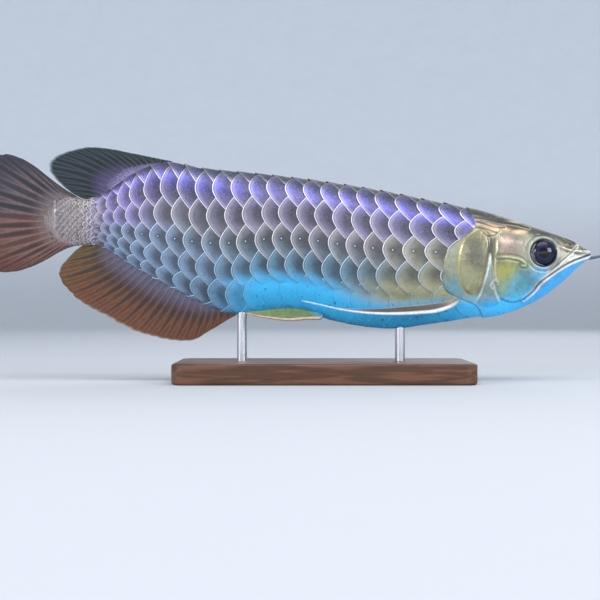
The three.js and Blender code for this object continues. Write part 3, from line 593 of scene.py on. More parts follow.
def wood_finish(colour):
    """Dark varnished wood: long grain along X from stretched noise, with pores and a satin coat."""
    s = Shader("stand_varnished_wood", Coat_Weight=0.12, Coat_Roughness=0.4, Specular_IOR_Level=0.3)
    stretched = s.node("ShaderNodeMapping", Vector=s.place(), Scale=(4.0, 55.0, 55.0)).outputs[0]
    warp = s.noise(1.4, 4.0, 0.6, stretched)
    rings = s.sums("SINE", s.sums("MULTIPLY", warp, 38.0))
    fine = s.node("ShaderNodeMapping", Vector=s.place(), Scale=(60.0, 1400.0, 1400.0)).outputs[0]
    pores = s.noise(1.0, 3.0, 0.6, fine)
    body = s.mix(s.ramp(rings, -1.0, 1.0), solid(colour, 0.62), solid(colour, 1.25))
    body = s.mix(s.ramp(pores, 0.5, 0.75, 0.0, 0.6), body, solid(colour, 0.3))
    rough = s.ramp(pores, 0.3, 0.7, 0.38, 0.52)
    return s.finish(Base_Color=body, Roughness=rough, Normal=s.bump(pores, 0.05, 0.4))


def steel_finish(colour):
    """Brushed steel: fine rings round the rod from noise stretched flat, with a little wear."""
    s = Shader("stand_brushed_steel", Metallic=1.0)
    flat = s.node("ShaderNodeMapping", Vector=s.place(), Scale=(60.0, 60.0, 5200.0)).outputs[0]
    brushed = s.noise(1.0, 3.0, 0.6, flat)
    body = s.mix(s.ramp(brushed, 0.3, 0.7, 0.0, 0.35), solid(colour), solid(colour, 0.6))
    rough = s.ramp(brushed, 0.3, 0.7, 0.26, 0.42)
    return s.finish(Base_Color=body, Roughness=rough, Normal=s.bump(brushed, 0.03, 0.5))


def studio_finish(name, colour):
    """Matt pale paper with a very fine grain. It is painted paler where it curves up, as painted light
    that makes up for the wall getting less light than the floor.
    """
    s = Shader(name, Roughness=0.9)
    grain = s.noise(30.0, 2.0)
    level = s.node("ShaderNodeSeparateXYZ", Vector=s.place()).outputs["Z"]
    # Painted light: the paper grows paler up the wall, which gets less lamp light than the floor
    body = s.mix(s.ramp(level, 0.0, 0.3), solid(colour), solid(colour, 1.55))
    return s.finish(Base_Color=s.mix(s.ramp(grain, 0.3, 0.7, 0.0, 0.04), body, solid(colour, 0.9)))


def flank_colour(x, z, look):
    """The body's colours by height, from olive back over violet and grey flanks to an azure belly. They turn
    purple towards the tail, beige on the tail base and olive behind the gill cover."""
    height = height_share(x, z)
    stops = [0.0, 0.2, 0.32, 0.5, 0.62, 0.78, 0.855, 0.9, 0.945, 1.0]
    order = ("belly", "belly", "lower", "middle", "grey", "grey", "upper", "upper", "back", "back")
    bands = np.array([look[key] for key in order])
    paint = np.stack([np.interp(height, stops, bands[:, c]) for c in range(3)], -1)
    rear = step(-x, 62, 100) * step(height, 0.1, 0.45)
    paint = blend(paint, look["rear"], 0.75 * rear * (1 - 0.6 * step(height, 0.86, 0.95)))
    low_rear = step(-x, 16, 56) * (1 - step(height, 0.3, 0.6))
    paint = blend(paint, tint(118, 134, 160), 0.92 * low_rear)
    dusty = step(x, -55, -15) * (1 - step(x, 48, 80))
    dusty = dusty * step(height, 0.5, 0.62) * (1 - step(height, 0.79, 0.87))
    paint = blend(paint, tint(134, 125, 130), 0.6 * dusty)
    paint = blend(paint, look["tail"], step(-x, 106, 120))
    front = step(x - 18 * step(height, 0.28, 0.45), 18, 64)
    front = front * step(height, 0.12, 0.24) * (1 - step(height, 0.52, 0.75))
    warm = blend(look["shoulder"], tint(174, 164, 112), 1 - step(height, 0.24, 0.42))
    return blend(paint, warm, 0.88 * front)


def dab(paint, x, z, centre, reach, colour, strength=1.0, lean=0.0):
    """Lays a soft patch of colour, exp(-r^3), over the paint. reach is its half size along and across, and
    lean turns it, in radians."""
    c, s = np.cos(lean), np.sin(lean)
    u = ((x - centre[0]) * c + (z - centre[1]) * s) / reach[0]
    v = (-(x - centre[0]) * s + (z - centre[1]) * c) / reach[1]
    return blend(paint, colour, strength * np.exp(-(u * u + v * v) ** 1.5))


def head_marks(x, z):
    """How far each point of the head lies from the head's lines, or inside its plates."""
    top = np.vstack([flow(HEAD_TOP, 30), [[200, 130], [95, 130]]])
    below = [[118, 44], [112, 20], [210, 20], [210, 77]]
    jaw = np.vstack([flow(MOUTH_LINE, 40), flow(JAW_CREASE, 12), below])
    maxilla = np.vstack([flow(MOUTH_LINE[1:6], 20), flow(MAXILLA_TOP, 20)])
    return {
        "head": depth(x, z, gill_outline(50)),
        "top": depth(x, z, top),
        "jaw": depth(x, z, jaw),
        "maxilla": depth(x, z, maxilla),
        "opercle": depth(x, z, ring_of(OPERCLE, 60)),
        "spike": depth(x, z, ring_of(SPIKE, 40)),
        "mouth": distance(x, z, flow(MOUTH_LINE, 40)),
        "crease": distance(x, z, flow(JAW_CREASE, 14)),
        "maxilla_top": distance(x, z, flow(MAXILLA_TOP, 20)),
        "cheek_rear": distance(x, z, flow(CHEEK_REAR, 24)),
        "suture": distance(x, z, flow(CHEEK_SUTURE, 20)),
        "lip_fold": distance(x, z, flow(UPPER_LIP_FOLD, 16)),
        "snout": distance(x, z, flow(SNOUT_CREASE, 12)),
        "wrinkle": np.min([distance(x, z, flow(line, 20)) for line in WRINKLES], axis=0),
        "curl": distance(x, z, flow(SPIKE_CURL, 14)),
        "eye": np.hypot(x - EYE["x"], z - EYE["z"]),
        "nostril": np.hypot(x - NOSTRIL["x"], z - NOSTRIL["z"]),
    }


def ridge(gap, width):
    """A rounded ridge or groove along a line, exp(-(gap / width)^2)."""
    return np.exp(-((gap / width) ** 2))


def head_lift(x, z, m):
    """How far the head's skin is raised: the gill cover and its plates, the cheek's seams, the ring round the
    eye, the eye's socket, the lips, the mouth's groove and the nostril."""
    near_gill = 1 - step(x, 112, 132)
    lift = step(m["head"], -0.15, 0.55) * (0.3 + 0.55 * near_gill) - 0.3
    lift += 0.45 * step(m["opercle"], -0.5, 1.6) - 0.4 * ridge(m["opercle"] + 0.3, 0.8)
    turn = np.arctan2(z - 71, x - 112)
    lift += 0.03 * np.sin(46 * turn + 3 * np.sin(7 * turn)) * step(m["opercle"], 0.5, 3)
    spike = step(z, 44, 52)
    lift += 0.75 * spike * step(m["spike"], -0.3, 1.6) - 0.3 * spike * ridge(m["spike"] + 0.6, 0.6)
    lift += 0.3 * ridge(m["curl"], 0.6)
    lift += 0.5 * ridge(m["cheek_rear"], 0.8)
    lift += 0.4 * ridge(m["suture"], 0.55) - 0.3 * ridge(m["suture"] - 1.3, 0.6)
    lift += 0.45 * step(x - 122, 0, 1.5) * step(m["jaw"], 1.5, -0.5) * (1 - step(m["top"], -1.5, 0.5))
    lift += 0.3 * step(m["top"], 0.0, 1.2) - 0.4 * ridge(m["wrinkle"], 0.5)
    lift += 0.45 * ridge(m["eye"] - EYE["ring"], 0.7) - 0.4 * ridge(m["eye"] - 10.9, 0.7)
    lift -= 1.6 * (1 - step(m["eye"], 7.4, 8.6))
    lift += 0.75 * step(m["maxilla"], -0.2, 1.4) - 0.45 * ridge(m["maxilla_top"], 0.5)
    lift += 0.5 * ridge(m["lip_fold"], 0.7) - 0.4 * ridge(m["lip_fold"] - 1.4, 0.6)
    lift -= 0.5 * ridge(m["snout"], 0.6)
    lip = m["jaw"] > 0
    lift += np.where(lip, 0.8, 0.4) * ridge(m["mouth"] - 1.2, 0.8) - 1.2 * ridge(m["mouth"], 0.45)
    lift -= 0.6 * ridge(m["crease"], 0.5)
    lift += 0.8 * ridge(m["nostril"] - NOSTRIL["radius"], 0.5) - 0.8 * ridge(m["nostril"], 0.7)
    return lift


def head_colour(x, z, m, look):
    """The head's colours: dark olive above, a gold and grey cheek, an olive gill cover and azure jaws.
    Painted shade darkens its grooves, the mouth's slit, the nostril and the gaps between its plates.
    """
    height = height_share(x, z)
    paint = blend(look["belly"], tint(142, 146, 120), step(height, 0.12, 0.36))
    paint = dab(paint, x, z, (104, 62), (13, 18), tint(138, 142, 114), 0.9)
    paint = dab(paint, x, z, (96, 55), (8, 9), tint(84, 140, 156), 0.8)
    paint = dab(paint, x, z, (94, 70), (3, 10), tint(146, 150, 132), 0.7)
    inside = step(m["opercle"], -0.5, 0.5)
    paint = blend(paint, tint(156, 150, 114), inside)
    paint = dab(paint, x, z, (110, 76), (6.5, 12), tint(84, 84, 78), 0.85 * inside, 0.15)
    paint = dab(paint, x, z, (106, 60), (6, 7), tint(146, 150, 112), 0.8 * inside)
    turn = np.arctan2(z - 71, x - 112)
    streak = step(np.sin(34 * turn + 2 * np.sin(5 * turn)), -0.2, 1) * (1 - step(z, 68, 84))
    paint = blend(paint, tint(186, 192, 158), 0.24 * streak * step(m["opercle"], 0.4, 2.5))
    paint = blend(paint, tint(196, 190, 118), 0.6 * ridge(m["opercle"], 0.45) * (1 - step(x, 110, 114)))
    # Painted shade: a dark line in the groove just outside the gill cover's front edge, towards the cheek
    paint = blend(paint, tint(48, 50, 44), 0.6 * ridge(m["opercle"] + 1.1, 0.8) * step(x, 108, 113))
    paint = dab(paint, x, z, (130, 80.5), (8.5, 7.5), tint(134, 112, 102), 0.95)
    # Painted shade: a narrow dark patch in the gap between the gill cover and the cheek
    paint = dab(paint, x, z, (118.6, 79), (2.4, 8), tint(66, 64, 50), 0.8)
    paint = dab(paint, x, z, (127, 84), (4, 2.4), tint(196, 160, 130), 0.6)
    paint = dab(paint, x, z, (134, 77), (4, 3), tint(110, 100, 92), 0.55)
    paint = dab(paint, x, z, (128, 66), (7.5, 7), tint(160, 158, 78), 1.0)
    paint = dab(paint, x, z, (138.5, 68.5), (4.5, 4), tint(122, 132, 96), 0.8)
    paint = dab(paint, x, z, (137, 58.5), (11, 7.5), tint(76, 158, 178), 0.9, 0.8)
    paint = dab(paint, x, z, (147.5, 64), (9, 4), tint(88, 164, 204), 0.85, 0.75)
    paint = dab(paint, x, z, (125.5, 55), (3.6, 6), tint(132, 158, 110), 0.7)
    paint = blend(paint, tint(92, 84, 64), step(x, 156, 162) * step(z - 0.6 * x, -21, -18))
    paint = dab(paint, x, z, (160.6, 77.4), (2.8, 5.4), tint(186, 180, 160), 0.95, 0.25)
    spike = step(z, 45, 53)
    paint = blend(paint, tint(150, 170, 164), step(m["spike"], -0.4, 0.8) * 0.85 * spike)
    paint = blend(paint, tint(226, 230, 218), 0.75 * ridge(m["spike"] - 0.2, 0.5) * spike)
    paint = blend(paint, tint(236, 240, 226), 0.85 * ridge(m["curl"], 0.5))
    paint = blend(paint, tint(206, 200, 166), 0.8 * ridge(m["cheek_rear"], 0.6))
    # Painted shade: a dark line in the gap just behind the cheek's rear edge
    paint = blend(paint, tint(58, 56, 46), 0.55 * ridge(m["cheek_rear"] - 1.5, 0.7) * (1 - step(x, 119, 124)))
    paint = blend(paint, tint(196, 200, 142), 0.8 * ridge(m["suture"], 0.4))
    # Painted shade: a darker line in the groove beside the cheek's suture
    paint = blend(paint, tint(74, 78, 44), 0.45 * ridge(m["suture"] - 1.3, 0.6))
    paint = blend(paint, tint(58, 62, 52), step(m["top"], -1.2, 1.2))
    paint = blend(paint, tint(40, 44, 38), step(m["top"], 2.5, 6))
    paint = dab(paint, x, z, (119, 91), (5.5, 2.2), tint(232, 190, 150), 0.95, -0.2)
    paint = dab(paint, x, z, (110, 93.4), (4.4, 1.2), tint(205, 176, 150), 0.75, -0.3)
    paint = dab(paint, x, z, (128, 90), (3.4, 1.3), tint(206, 164, 136), 0.7)
    paint = dab(paint, x, z, (136, 88.8), (4.8, 1.2), tint(240, 196, 156), 0.95)
    paint = dab(paint, x, z, (133.5, 94.8), (4.4, 0.6), tint(196, 184, 150), 0.65, -0.15)
    paint = dab(paint, x, z, (166.5, 80), (3, 1.1), tint(196, 160, 104), 0.7, -0.4)
    # Painted shade: dark lines in the grooves of the wrinkles on top of the head
    paint = blend(paint, tint(34, 36, 30), 0.75 * ridge(m["wrinkle"], 0.45))
    beside_wrinkle = 0.5 * ridge(m["wrinkle"] - 1.0, 0.35) * (1 - step(m["top"], 3, 6))
    paint = blend(paint, tint(214, 190, 150), beside_wrinkle)
    # Painted shade: a dark line in the snout's crease
    paint = blend(paint, tint(30, 30, 28), 0.7 * ridge(m["snout"], 0.6))
    paint = blend(paint, tint(168, 168, 154), step(m["maxilla"], -0.3, 0.6) * 0.85)
    paint = blend(paint, tint(112, 150, 170), step(m["maxilla"], -0.3, 0.6) * 0.7 * (1 - step(x, 148, 158)))
    paint = blend(paint, tint(228, 224, 208), 0.85 * ridge(m["lip_fold"], 0.55))
    # Painted shade: a dark line in the groove beside the upper lip's fold
    paint = blend(paint, tint(56, 48, 38), 0.7 * ridge(m["lip_fold"] - 1.4, 0.6) * step(x, 160, 166))
    azure = blend(tint(60, 170, 236), look["belly"], 1 - step(x, 125, 150))
    paint = blend(paint, azure, step(m["jaw"], -0.2, 0.8))
    lip = np.where(m["jaw"] > 0, 1.0, 0.5)
    paint = blend(paint, tint(232, 236, 238), lip * ridge(m["mouth"] - 1.0, 0.75) * step(x, 134, 150))
    paint = blend(paint, tint(216, 216, 206), 0.8 * ridge(m["maxilla_top"] - 0.7, 0.5) * step(x, 148, 158))
    # Painted shade: a dark line in the groove along the top of the maxilla
    paint = blend(paint, tint(48, 42, 34), 0.75 * ridge(m["maxilla_top"] + 0.1, 0.5) * step(x, 150, 158))
    # Painted shade: the dark line of the mouth's slit
    paint = blend(paint, tint(26, 28, 36), 0.95 * ridge(m["mouth"], 0.42))
    # Painted shade: a darker blue line in the jaw's crease
    paint = blend(paint, tint(30, 70, 110), 0.7 * ridge(m["crease"], 0.5))
    # Painted shade: a dark upper arc in the groove round the eye's ring
    paint = blend(paint, tint(44, 50, 52), 0.7 * ridge(m["eye"] - 11.0, 0.8) * step(z, 74, 84))
    paint = blend(paint, tint(150, 168, 182), 0.65 * ridge(m["eye"] - EYE["ring"] + 0.1, 0.34))
    paint = blend(paint, tint(8, 10, 22), 1 - step(m["eye"], 8.0, 8.7))
    # Painted shade: the dark inside of the nostril
    paint = blend(paint, tint(30, 30, 28), 0.8 * ridge(m["nostril"], 0.8))
    return paint


def head_gleam(x, z, m):
    """Where the head shines like metal: the gold patches, the rims of its plates and the lips."""
    gleam = 0.8 * ridge(m["opercle"], 1.0) + 0.6 * step(m["opercle"], 0, 2) + 0.9 * step(m["spike"], -0.3, 1)
    gleam += 0.55 * np.exp(-((x - 122) / 15) ** 2 - ((z - 90.5) / 3) ** 2)
    gleam += 0.5 * np.exp(-((x - 129) / 9) ** 2 - ((z - 72) / 14) ** 2) + 0.7 * ridge(m["cheek_rear"], 0.9)
    gleam += 0.6 * ridge(m["lip_fold"], 1.0) + 0.6 * step(m["maxilla"], 0, 1)
    return np.clip(gleam, 0, 1)


def build_skin(look):
    """One skin from snout to tail: rings packed closely on the head, raised and painted by its marks, and
    closed at both ends by a point in the middle of the last ring."""
    body_rings = np.linspace(TAIL_END_X, HEAD_REAR_X, 64)
    head_rings = np.linspace(HEAD_REAR_X + 0.4, CHIN_TIP_X - SNOUT_LENGTH, 200)
    snout_rings = CHIN_TIP_X - SNOUT_LENGTH * np.linspace(1, 0, 34)[1:-1] ** 1.6
    x = np.concatenate([body_rings, head_rings, snout_rings])[:, None]
    angle = round_angles(300)[None, :]
    bare = bare_skin(x, angle)
    flat_x, flat_z = bare[..., 0], bare[..., 2]
    m = head_marks(flat_x, flat_z)
    on_head = step(flat_x, HEAD_REAR_X - 2, HEAD_REAR_X + 2)
    lift = -0.3 * (1 - on_head) + head_lift(flat_x, flat_z, m) * on_head
    lift *= step(CHIN_TIP_X - flat_x, 0.0, 3.0)
    points = skin(x, angle, lift)
    opened = on_head * step(m["head"], -0.1, 0.3)
    paint = blend(flank_colour(flat_x, flat_z, look), head_colour(flat_x, flat_z, m, look), opened)
    # Painted shadow: a dark line just behind the raised gill cover's edge, except at its foot
    paint = blend(paint, tint(34, 40, 40), step(flat_z, 42, 56) * 0.6 * on_head * ridge(m["head"] + 0.3, 0.5))
    ray_tone = blend(tint(92, 62, 52), tint(62, 58, 68), step(flat_z, 92, 106))
    paint = blend(paint, ray_tone, step(beyond_tongue(flat_x, flat_z), -1.5, 1.5))
    height = height_share(flat_x, flat_z)
    freckles = 0.7 * (1 - step(height, 0.12, 0.2)) + 0.65 * step(height, 0.88, 0.98)
    gleam = head_gleam(flat_x, flat_z, m) * opened
    ends = [points[0].mean(axis=0), points[-1].mean(axis=0)]
    new_piece(
        "body_skin", with_ends(points, ends), turned(closed_rings(*flat_x.shape)), skin_finish(),
        ("head", "lower_jaw", "gill_cover_right", "gill_cover_left", "trunk", "tail_base"),
        {
            "paint": with_ends(paint, [paint[0, 0], paint[-1, 0]]),
            "freckles": np.append(freckles, [0, 0]),
            "gleam": np.append(gleam, [0, 0]),
        },
    )


def scale_places():
    """Numbers of scales from the first row's marked one, and where they are along X, worked out by adding up
    the scale pitch in quarter steps."""
    pitch = curve(SCALE_PITCH)
    share = 0.25
    ahead, behind = [FIRST_ROW_APEX_X], [FIRST_ROW_APEX_X]
    for _ in range(int((AHEAD + 6) / share)):
        ahead.append(ahead[-1] + pitch(ahead[-1]) * share)
    for _ in range(int((BEHIND + 6) / share)):
        behind.append(behind[-1] - pitch(behind[-1]) * share)
    x = np.array(behind[:0:-1] + ahead, float)
    return (np.arange(len(x)) - len(behind) + 1) * share, x


def rim_tone(x, height):
    """The colour of a scale's rim by the scale's place: bluish low down, pale violet high up and duller
    towards the tail."""
    rim = blend(tint(150, 192, 214), tint(216, 212, 218), step(height, 0.25, 0.55))
    rim = blend(rim, tint(230, 222, 246), step(height, 0.72, 0.86))
    rim = blend(rim, tint(196, 208, 226), 0.6 * step(-x, 60, 90) * (1 - step(height, 0.35, 0.75)))
    return blend(rim, tint(168, 162, 196), 0.6 * step(-x, 96, 114))


def build_scales(name, rows, look, finish, draw):
    """Overlapping scales in the given rows. A scale is a curved plate: across it t counts in rows from its
    middle, and inwards v goes from its free edge to under the scales in front. The free edge bows back as
    (t^2 + e)^0.75, the plate rises towards the edge, and its corners tuck under its neighbours."""
    marks, places = scale_places()
    t = np.linspace(-SCALE_REACH, SCALE_REACH, 23)[:, None]
    v = np.array(SCALE_STATIONS)[None, :]
    soft = 0.05
    bow = 1.16 * ((t * t + soft) ** 0.75 - soft ** 0.75)
    numbers = np.arange(-BEHIND, AHEAD)
    row, number = [a.ravel().astype(float) for a in np.meshgrid(rows, numbers, indexing="ij")]
    side = np.where(row > ROWS / 2, row - ROWS, row)
    vary = draw.normal(0, 1, (len(row), 3))[:, :, None, None]
    apex = number + np.where(row % 2 == 0, 0.5, 0.0) + ROW_LEAN * (np.abs(side) - 1)
    apex = apex[:, None, None] + 0.025 * vary[:, 0]
    x = np.interp(apex + bow[None] + v[None], marks, places)
    across = (side[:, None, None] + t[None] + ROWS / 2) % ROWS - ROWS / 2 + 0 * x
    turn = np.sign(across) * (row_angle(np.abs(across)) + row_sway(x) * sway_share(np.abs(across)))
    middle = (slice(None), t.size // 2, 2)
    home = bare_skin(x[middle], turn[middle])
    home_x, home_height = home[:, 0], height_share(home[:, 0], home[:, 2])
    opening = gill_outline(40)
    keep = (x.min(axis=(1, 2)) > SMALL_SCALES_X) & (x.max(axis=(1, 2)) < 132)
    keep &= depth(home_x, home[:, 2], opening) < 1.0
    x, turn, vary = x[keep], turn[keep], vary[keep]
    home_x, home_height, side, apex = home_x[keep], home_height[keep], side[keep], apex[keep]
    fade = (1 - step(home_height, 0.16, 0.32)) * step(home_x, -45, -15)
    fade = np.maximum(fade, 0.55 * (1 - step(home_height, 0.3, 0.42)) * step(home_x, 20, 60))
    small = np.clip(curve(SCALE_PITCH)(home_x) / 10.6, 0.35, 1.0)
    proud = (look["relief"] * small * (1 - 0.75 * fade))[:, None, None]
    tucked = 1 - 0.85 * step(np.abs(t), 0.5, 0.9)
    rise = (np.clip(1 - v / 1.12, -0.1, 1) + 0.1 * ridge(v - 0.05, 0.05)) * tucked - 0.14 * t * t
    rise -= 0.3 * step(np.abs(t), 0.7, 0.9)
    lift = proud * rise[None] * (1 + 0.08 * vary[:, 1]) - 0.12
    under = step(depth(x, bare_skin(x, turn)[..., 2], opening), -1.2, 1.5)
    lift = lift * (1 - under) - 0.55 * under
    thick = 0.28 * small[:, None, None] * (1 - step(v, 0.6, 1.2))[None] + 0.03
    top = skin(x, turn, lift)
    low = skin(x, turn, lift - thick)
    paint = flank_colour(x, top[..., 2], look)
    even = step(home_height, 0.36, 0.6)[:, None, None]
    paint = blend(paint, paint.mean(axis=(1, 2), keepdims=True), 0.5 * even + 0 * x)
    paint = paint * (1 + 0.08 * even * vary[:, 2])[..., None]
    high = height_share(x, top[..., 2])
    rim = rim_tone(home_x, home_height)[:, None, None, :] + 0 * paint
    rim = blend(rim, tint(96, 98, 94), 0.85 * step(high, 0.915, 0.96))
    bare = (1 - step(high, 0.18, 0.33)) * step(x, -45, -15)
    bare = np.maximum(bare, 0.6 * (1 - step(high, 0.3, 0.44)) * step(x, 20, 60))
    cells = (len(numbers) + 6, ROWS + 2)
    unwrap = np.stack([
        (apex + BEHIND + 3 + 0.9 * np.clip(v, 0, 1) + 0 * x) / cells[0],
        (side[:, None, None] + 6.9 + 0.48 * t + 0 * x) / cells[1],
    ], -1)
    on_plate = np.stack([t + 0 * x, v + 0 * x], -1)
    new_piece(
        name, both_sheets(top, low), many_plates(len(x), t.size, v.size), finish, (),
        {
            "paint": both_sheets(paint),
            "rim_colour": both_sheets(rim),
            "fade": both_sheets(bare),
            "freckles": both_sheets(0.9 * step(high, 0.84, 0.95)),
            "shine": both_sheets(step(high, 0.62, 0.78) * (1 - step(high, 0.93, 0.97))),
            "pore": both_sheets(np.where(np.abs(side) == 3, 1.0, 0.0)[:, None, None] + 0 * x),
        },
        {"OFBake": both_sheets(unwrap), "ScaleMap": both_sheets(on_plate)},
    )


def places_along(line, share):
    """Places at shares of the length of a smooth line through given points."""
    path = flow(line, 600)
    grid = np.linspace(0, 1, 600)
    return np.stack([np.interp(share, grid, path[:, c]) for c in range(path.shape[1])], -1)


def standing_fin(root, edge, bow):
    """The middle surface of a fin on the mid-plane: straight from a root point to the edge point at the same
    share of the length, bent by a half sine of the ray's length."""
    def at(s, t):
        a, b = places_along(root, s), places_along(edge, s)
        spread = a + (b - a) * t[..., None]
        sag = bow * np.sin(np.pi * t) * np.linalg.norm(b - a, axis=-1)
        return np.stack([spread[..., 0], 0 * sag, spread[..., 1] + sag], -1)

    return at


def paired_fin(lead, trail, side):
    """The middle surface of a paired fin: straight from the leading edge to the trailing edge at the same
    share of their lengths. side is -1 on the right and 1 on the left."""
    def at(s, t):
        a, b = places_along(lead, t), places_along(trail, t)
        return (a + (b - a) * s[..., None]) * np.array([1, side, 1])

    return at


def build_fin(name, at, rays, colour, finish, face, thickness, notch, draw, rows=44):
    """A fin: thickness laid off both ways from its middle surface along face. It falls from root to edge as
    the root of the share, and each ray stands up as exp(-(d / w)^2) of the distance from it. A ray splits in
    two beyond the middle, and the membrane between rays draws back at the edge."""
    columns = rays * 10
    s = np.linspace(0, 1, columns + 1)[:, None] + np.zeros((1, rows))
    t = np.linspace(0, 1, rows)[None, :] ** 0.9 + 0 * s
    phase = s * rays
    beside = phase - np.floor(phase) - 0.5
    which = np.clip(np.floor(phase).astype(int), 0, rays - 1)
    branch = 0.22 * step(t, 0.35, 0.85)
    gap = np.abs(np.abs(beside) - branch)
    ray = np.exp(-((gap / (0.11 + 0.05 * (1 - t))) ** 2))
    uneven = draw.normal(0, 0.006, rays)[which]
    reach = 1 - notch * (2 * np.abs(beside)) ** 2 * t ** 3 - np.abs(uneven) * t ** 3
    root, edge, ridge_height = thickness
    half = (root + (edge - root) * np.sqrt(t) + ridge_height * (1 - 0.6 * t) * ray) / 2
    half *= 1 - 0.6 * step(t, 0.96, 1.0)
    points = at(s, t * reach)
    face = np.array(face, float)
    upper = points + half[..., None] * face
    lower = points - half[..., None] * face
    paint = colour(s, t, ray, upper[..., 2])
    faces = plate_faces(*s.shape)
    around = np.cross(points[1:, 1:] - points[:-1, 1:], points[1:, 1:] - points[1:, :-1])
    if (around @ face).sum() > 0:
        faces = faces[:, ::-1]
    flat = np.stack([s, t], -1)
    new_piece(
        "rayed_" + name, both_sheets(upper[None], lower[None]), faces, finish, (name,),
        {"paint": both_sheets(paint[None]), "ray": both_sheets(ray[None])},
        {"FinMap": both_sheets(flat[None])},
    )


def dorsal_colour(s, t, ray, z):
    """Slate green, with black streaks between the rays, a thin pale edge and a mauve root."""
    paint = blend(tint(14, 24, 30), tint(40, 60, 68), ray)
    paint = blend(paint, tint(8, 10, 14), (0.7 + 0.3 * np.sin(s * 61)) * (1 - ray) ** 2 * step(t, 0.1, 0.35))
    paint = blend(paint, tint(84, 72, 116), 0.7 * (1 - step(t, 0.15, 0.5)))
    return blend(paint, tint(132, 150, 160), 0.8 * step(t, 0.965, 0.99))


def anal_colour(s, t, ray, z):
    """Brown with dark thin streaks, olive towards the rear and mauve grey at the root, with a thin edge."""
    paint = blend(tint(60, 36, 28), tint(104, 66, 44), ray * 0.7)
    paint = blend(paint, tint(116, 66, 30), 0.5 * step(t, 0.35, 0.8))
    paint = blend(paint, tint(84, 70, 34), 0.75 * step(s, 0.66, 0.95))
    streak = (0.7 + 0.3 * np.sin(s * 83)) * (1 - ray) ** 4
    paint = blend(paint, tint(24, 18, 22), 0.8 * streak * step(t, 0.2, 0.45) * (1 - 0.6 * step(t, 0.8, 0.95)))
    paint = blend(paint, tint(84, 84, 108), 0.9 * (1 - step(t, 0.12, 0.48)))
    edge = 0.75 * step(t, 0.972, 0.99) * (1 - step(s, 0.5, 0.75))
    return blend(paint, tint(190, 176, 168), edge)


def caudal_colour(s, t, ray, z):
    """Beige at the root, dark slate above and dark red brown below, with pale rays and black streaks."""
    above = step(z, 92, 106)
    paint = blend(tint(86, 48, 38), tint(44, 44, 58), above)
    paint = blend(paint, tint(134, 108, 100), ray * 0.55 * (1 - step(t, 0.45, 0.95)))
    streak = (0.6 + 0.3 * np.sin(s * 47)) * (1 - ray) ** 5
    paint = blend(paint, tint(22, 18, 24), streak * step(t, 0.25, 0.45))
    return blend(paint, tint(116, 103, 102), 0.8 * (1 - step(t, 0.18, 0.42)))


def pectoral_colour(s, t, ray, z):
    """A whitish leading ray, a dark brown membrane inside it and a pale trailing edge."""
    paint = blend(tint(58, 52, 50), tint(120, 110, 98), ray * 0.7)
    paint = blend(paint, tint(206, 214, 222), 1 - step(s, 0.1, 0.24))
    paint = blend(paint, tint(176, 172, 160), 0.8 * step(s, 0.86, 0.97))
    paint = blend(paint, tint(150, 196, 226), 0.8 * step(t, 0.5, 0.95))
    return blend(paint, tint(176, 168, 152), 0.7 * (1 - step(t, 0.03, 0.14)))


def pelvic_colour(s, t, ray, z):
    """Yellow green with a pale pink edge."""
    paint = blend(tint(70, 98, 52), tint(134, 152, 84), ray * 0.8)
    paint = blend(paint, tint(206, 176, 160), 0.85 * (1 - step(s, 0.05, 0.16)))
    return blend(paint, tint(90, 160, 200), 0.6 * (1 - step(t, 0.03, 0.2)))


def build_small_scales(name, seat, size, softness, colours, rims, finish, draw):
    """Small overlapping scales set one by one on a surface. Each is a closed plate whose free edge is a
    rounded arc, |t|^1.6, and which rises towards that edge. The seat holds their places and their backward
    and outward directions."""
    places, backwards, outwards = seat
    t = np.linspace(-1, 1, 7)[:, None]
    v = np.array([0, 0.15, 0.5, 1.1])[None, :]
    inward = 0.55 * np.abs(t) ** 1.6 + v
    rise = 0.17 * (1 - v / 1.1) * (1 - 0.6 * t * t)
    sideways = np.cross(outwards, backwards)
    count = len(places)
    size = (size * (1 + 0.12 * draw.normal(0, 1, count)))[:, None, None, None]
    back, out, across = [a[:, None, None, :] for a in (backwards, outwards, sideways)]
    slid = places + 0.12 * draw.normal(0, 1, (count, 1)) * backwards
    slid = slid + 0.12 * draw.normal(0, 1, (count, 1)) * sideways
    near = slid[:, None, None] + size * (-inward[None, ..., None] * back + 0.62 * t[None, ..., None] * across)
    upper = near + size * rise[None, ..., None] * out * (1 - 0.6 * softness[:, None, None, None])
    lower = upper - size * 0.09 * out
    side_cells = int(np.ceil(np.sqrt(count)))
    cell = np.arange(count)
    corner = np.stack([cell % side_cells, cell // side_cells], -1) / side_cells
    local = np.stack([(t + 1.2) / 2.4 + 0 * v, (v + 0.1) / 1.4 + 0 * t], -1) / side_cells
    paint = colours * (1 + 0.12 * draw.normal(0, 1, (count, 1)))
    on_plate = np.stack([0.9 * t + 0 * v, 0.28 * v + 0 * t], -1)
    blank = np.zeros((count, t.size, v.size))
    new_piece(
        name, both_sheets(upper, lower), many_plates(count, t.size, v.size)[:, ::-1], finish, (),
        {
            "paint": both_sheets(paint[:, None, None, :] + blank[..., None]),
            "rim_colour": both_sheets(rims[:, None, None, :] + blank[..., None]),
            "fade": both_sheets(softness[:, None, None] + blank),
            "freckles": both_sheets(blank),
            "shine": both_sheets(blank + 0.3),
            "pore": both_sheets(blank),
        },
        {
            "OFBake": both_sheets(corner[:, None, None, :] + local[None]),
            "ScaleMap": both_sheets(on_plate[None] + blank[..., None]),
        },
    )


def foot_thickness(t):
    """How thick a fin is where small scales lie on its foot."""
    return 2.3 - 1.2 * np.sqrt(t)


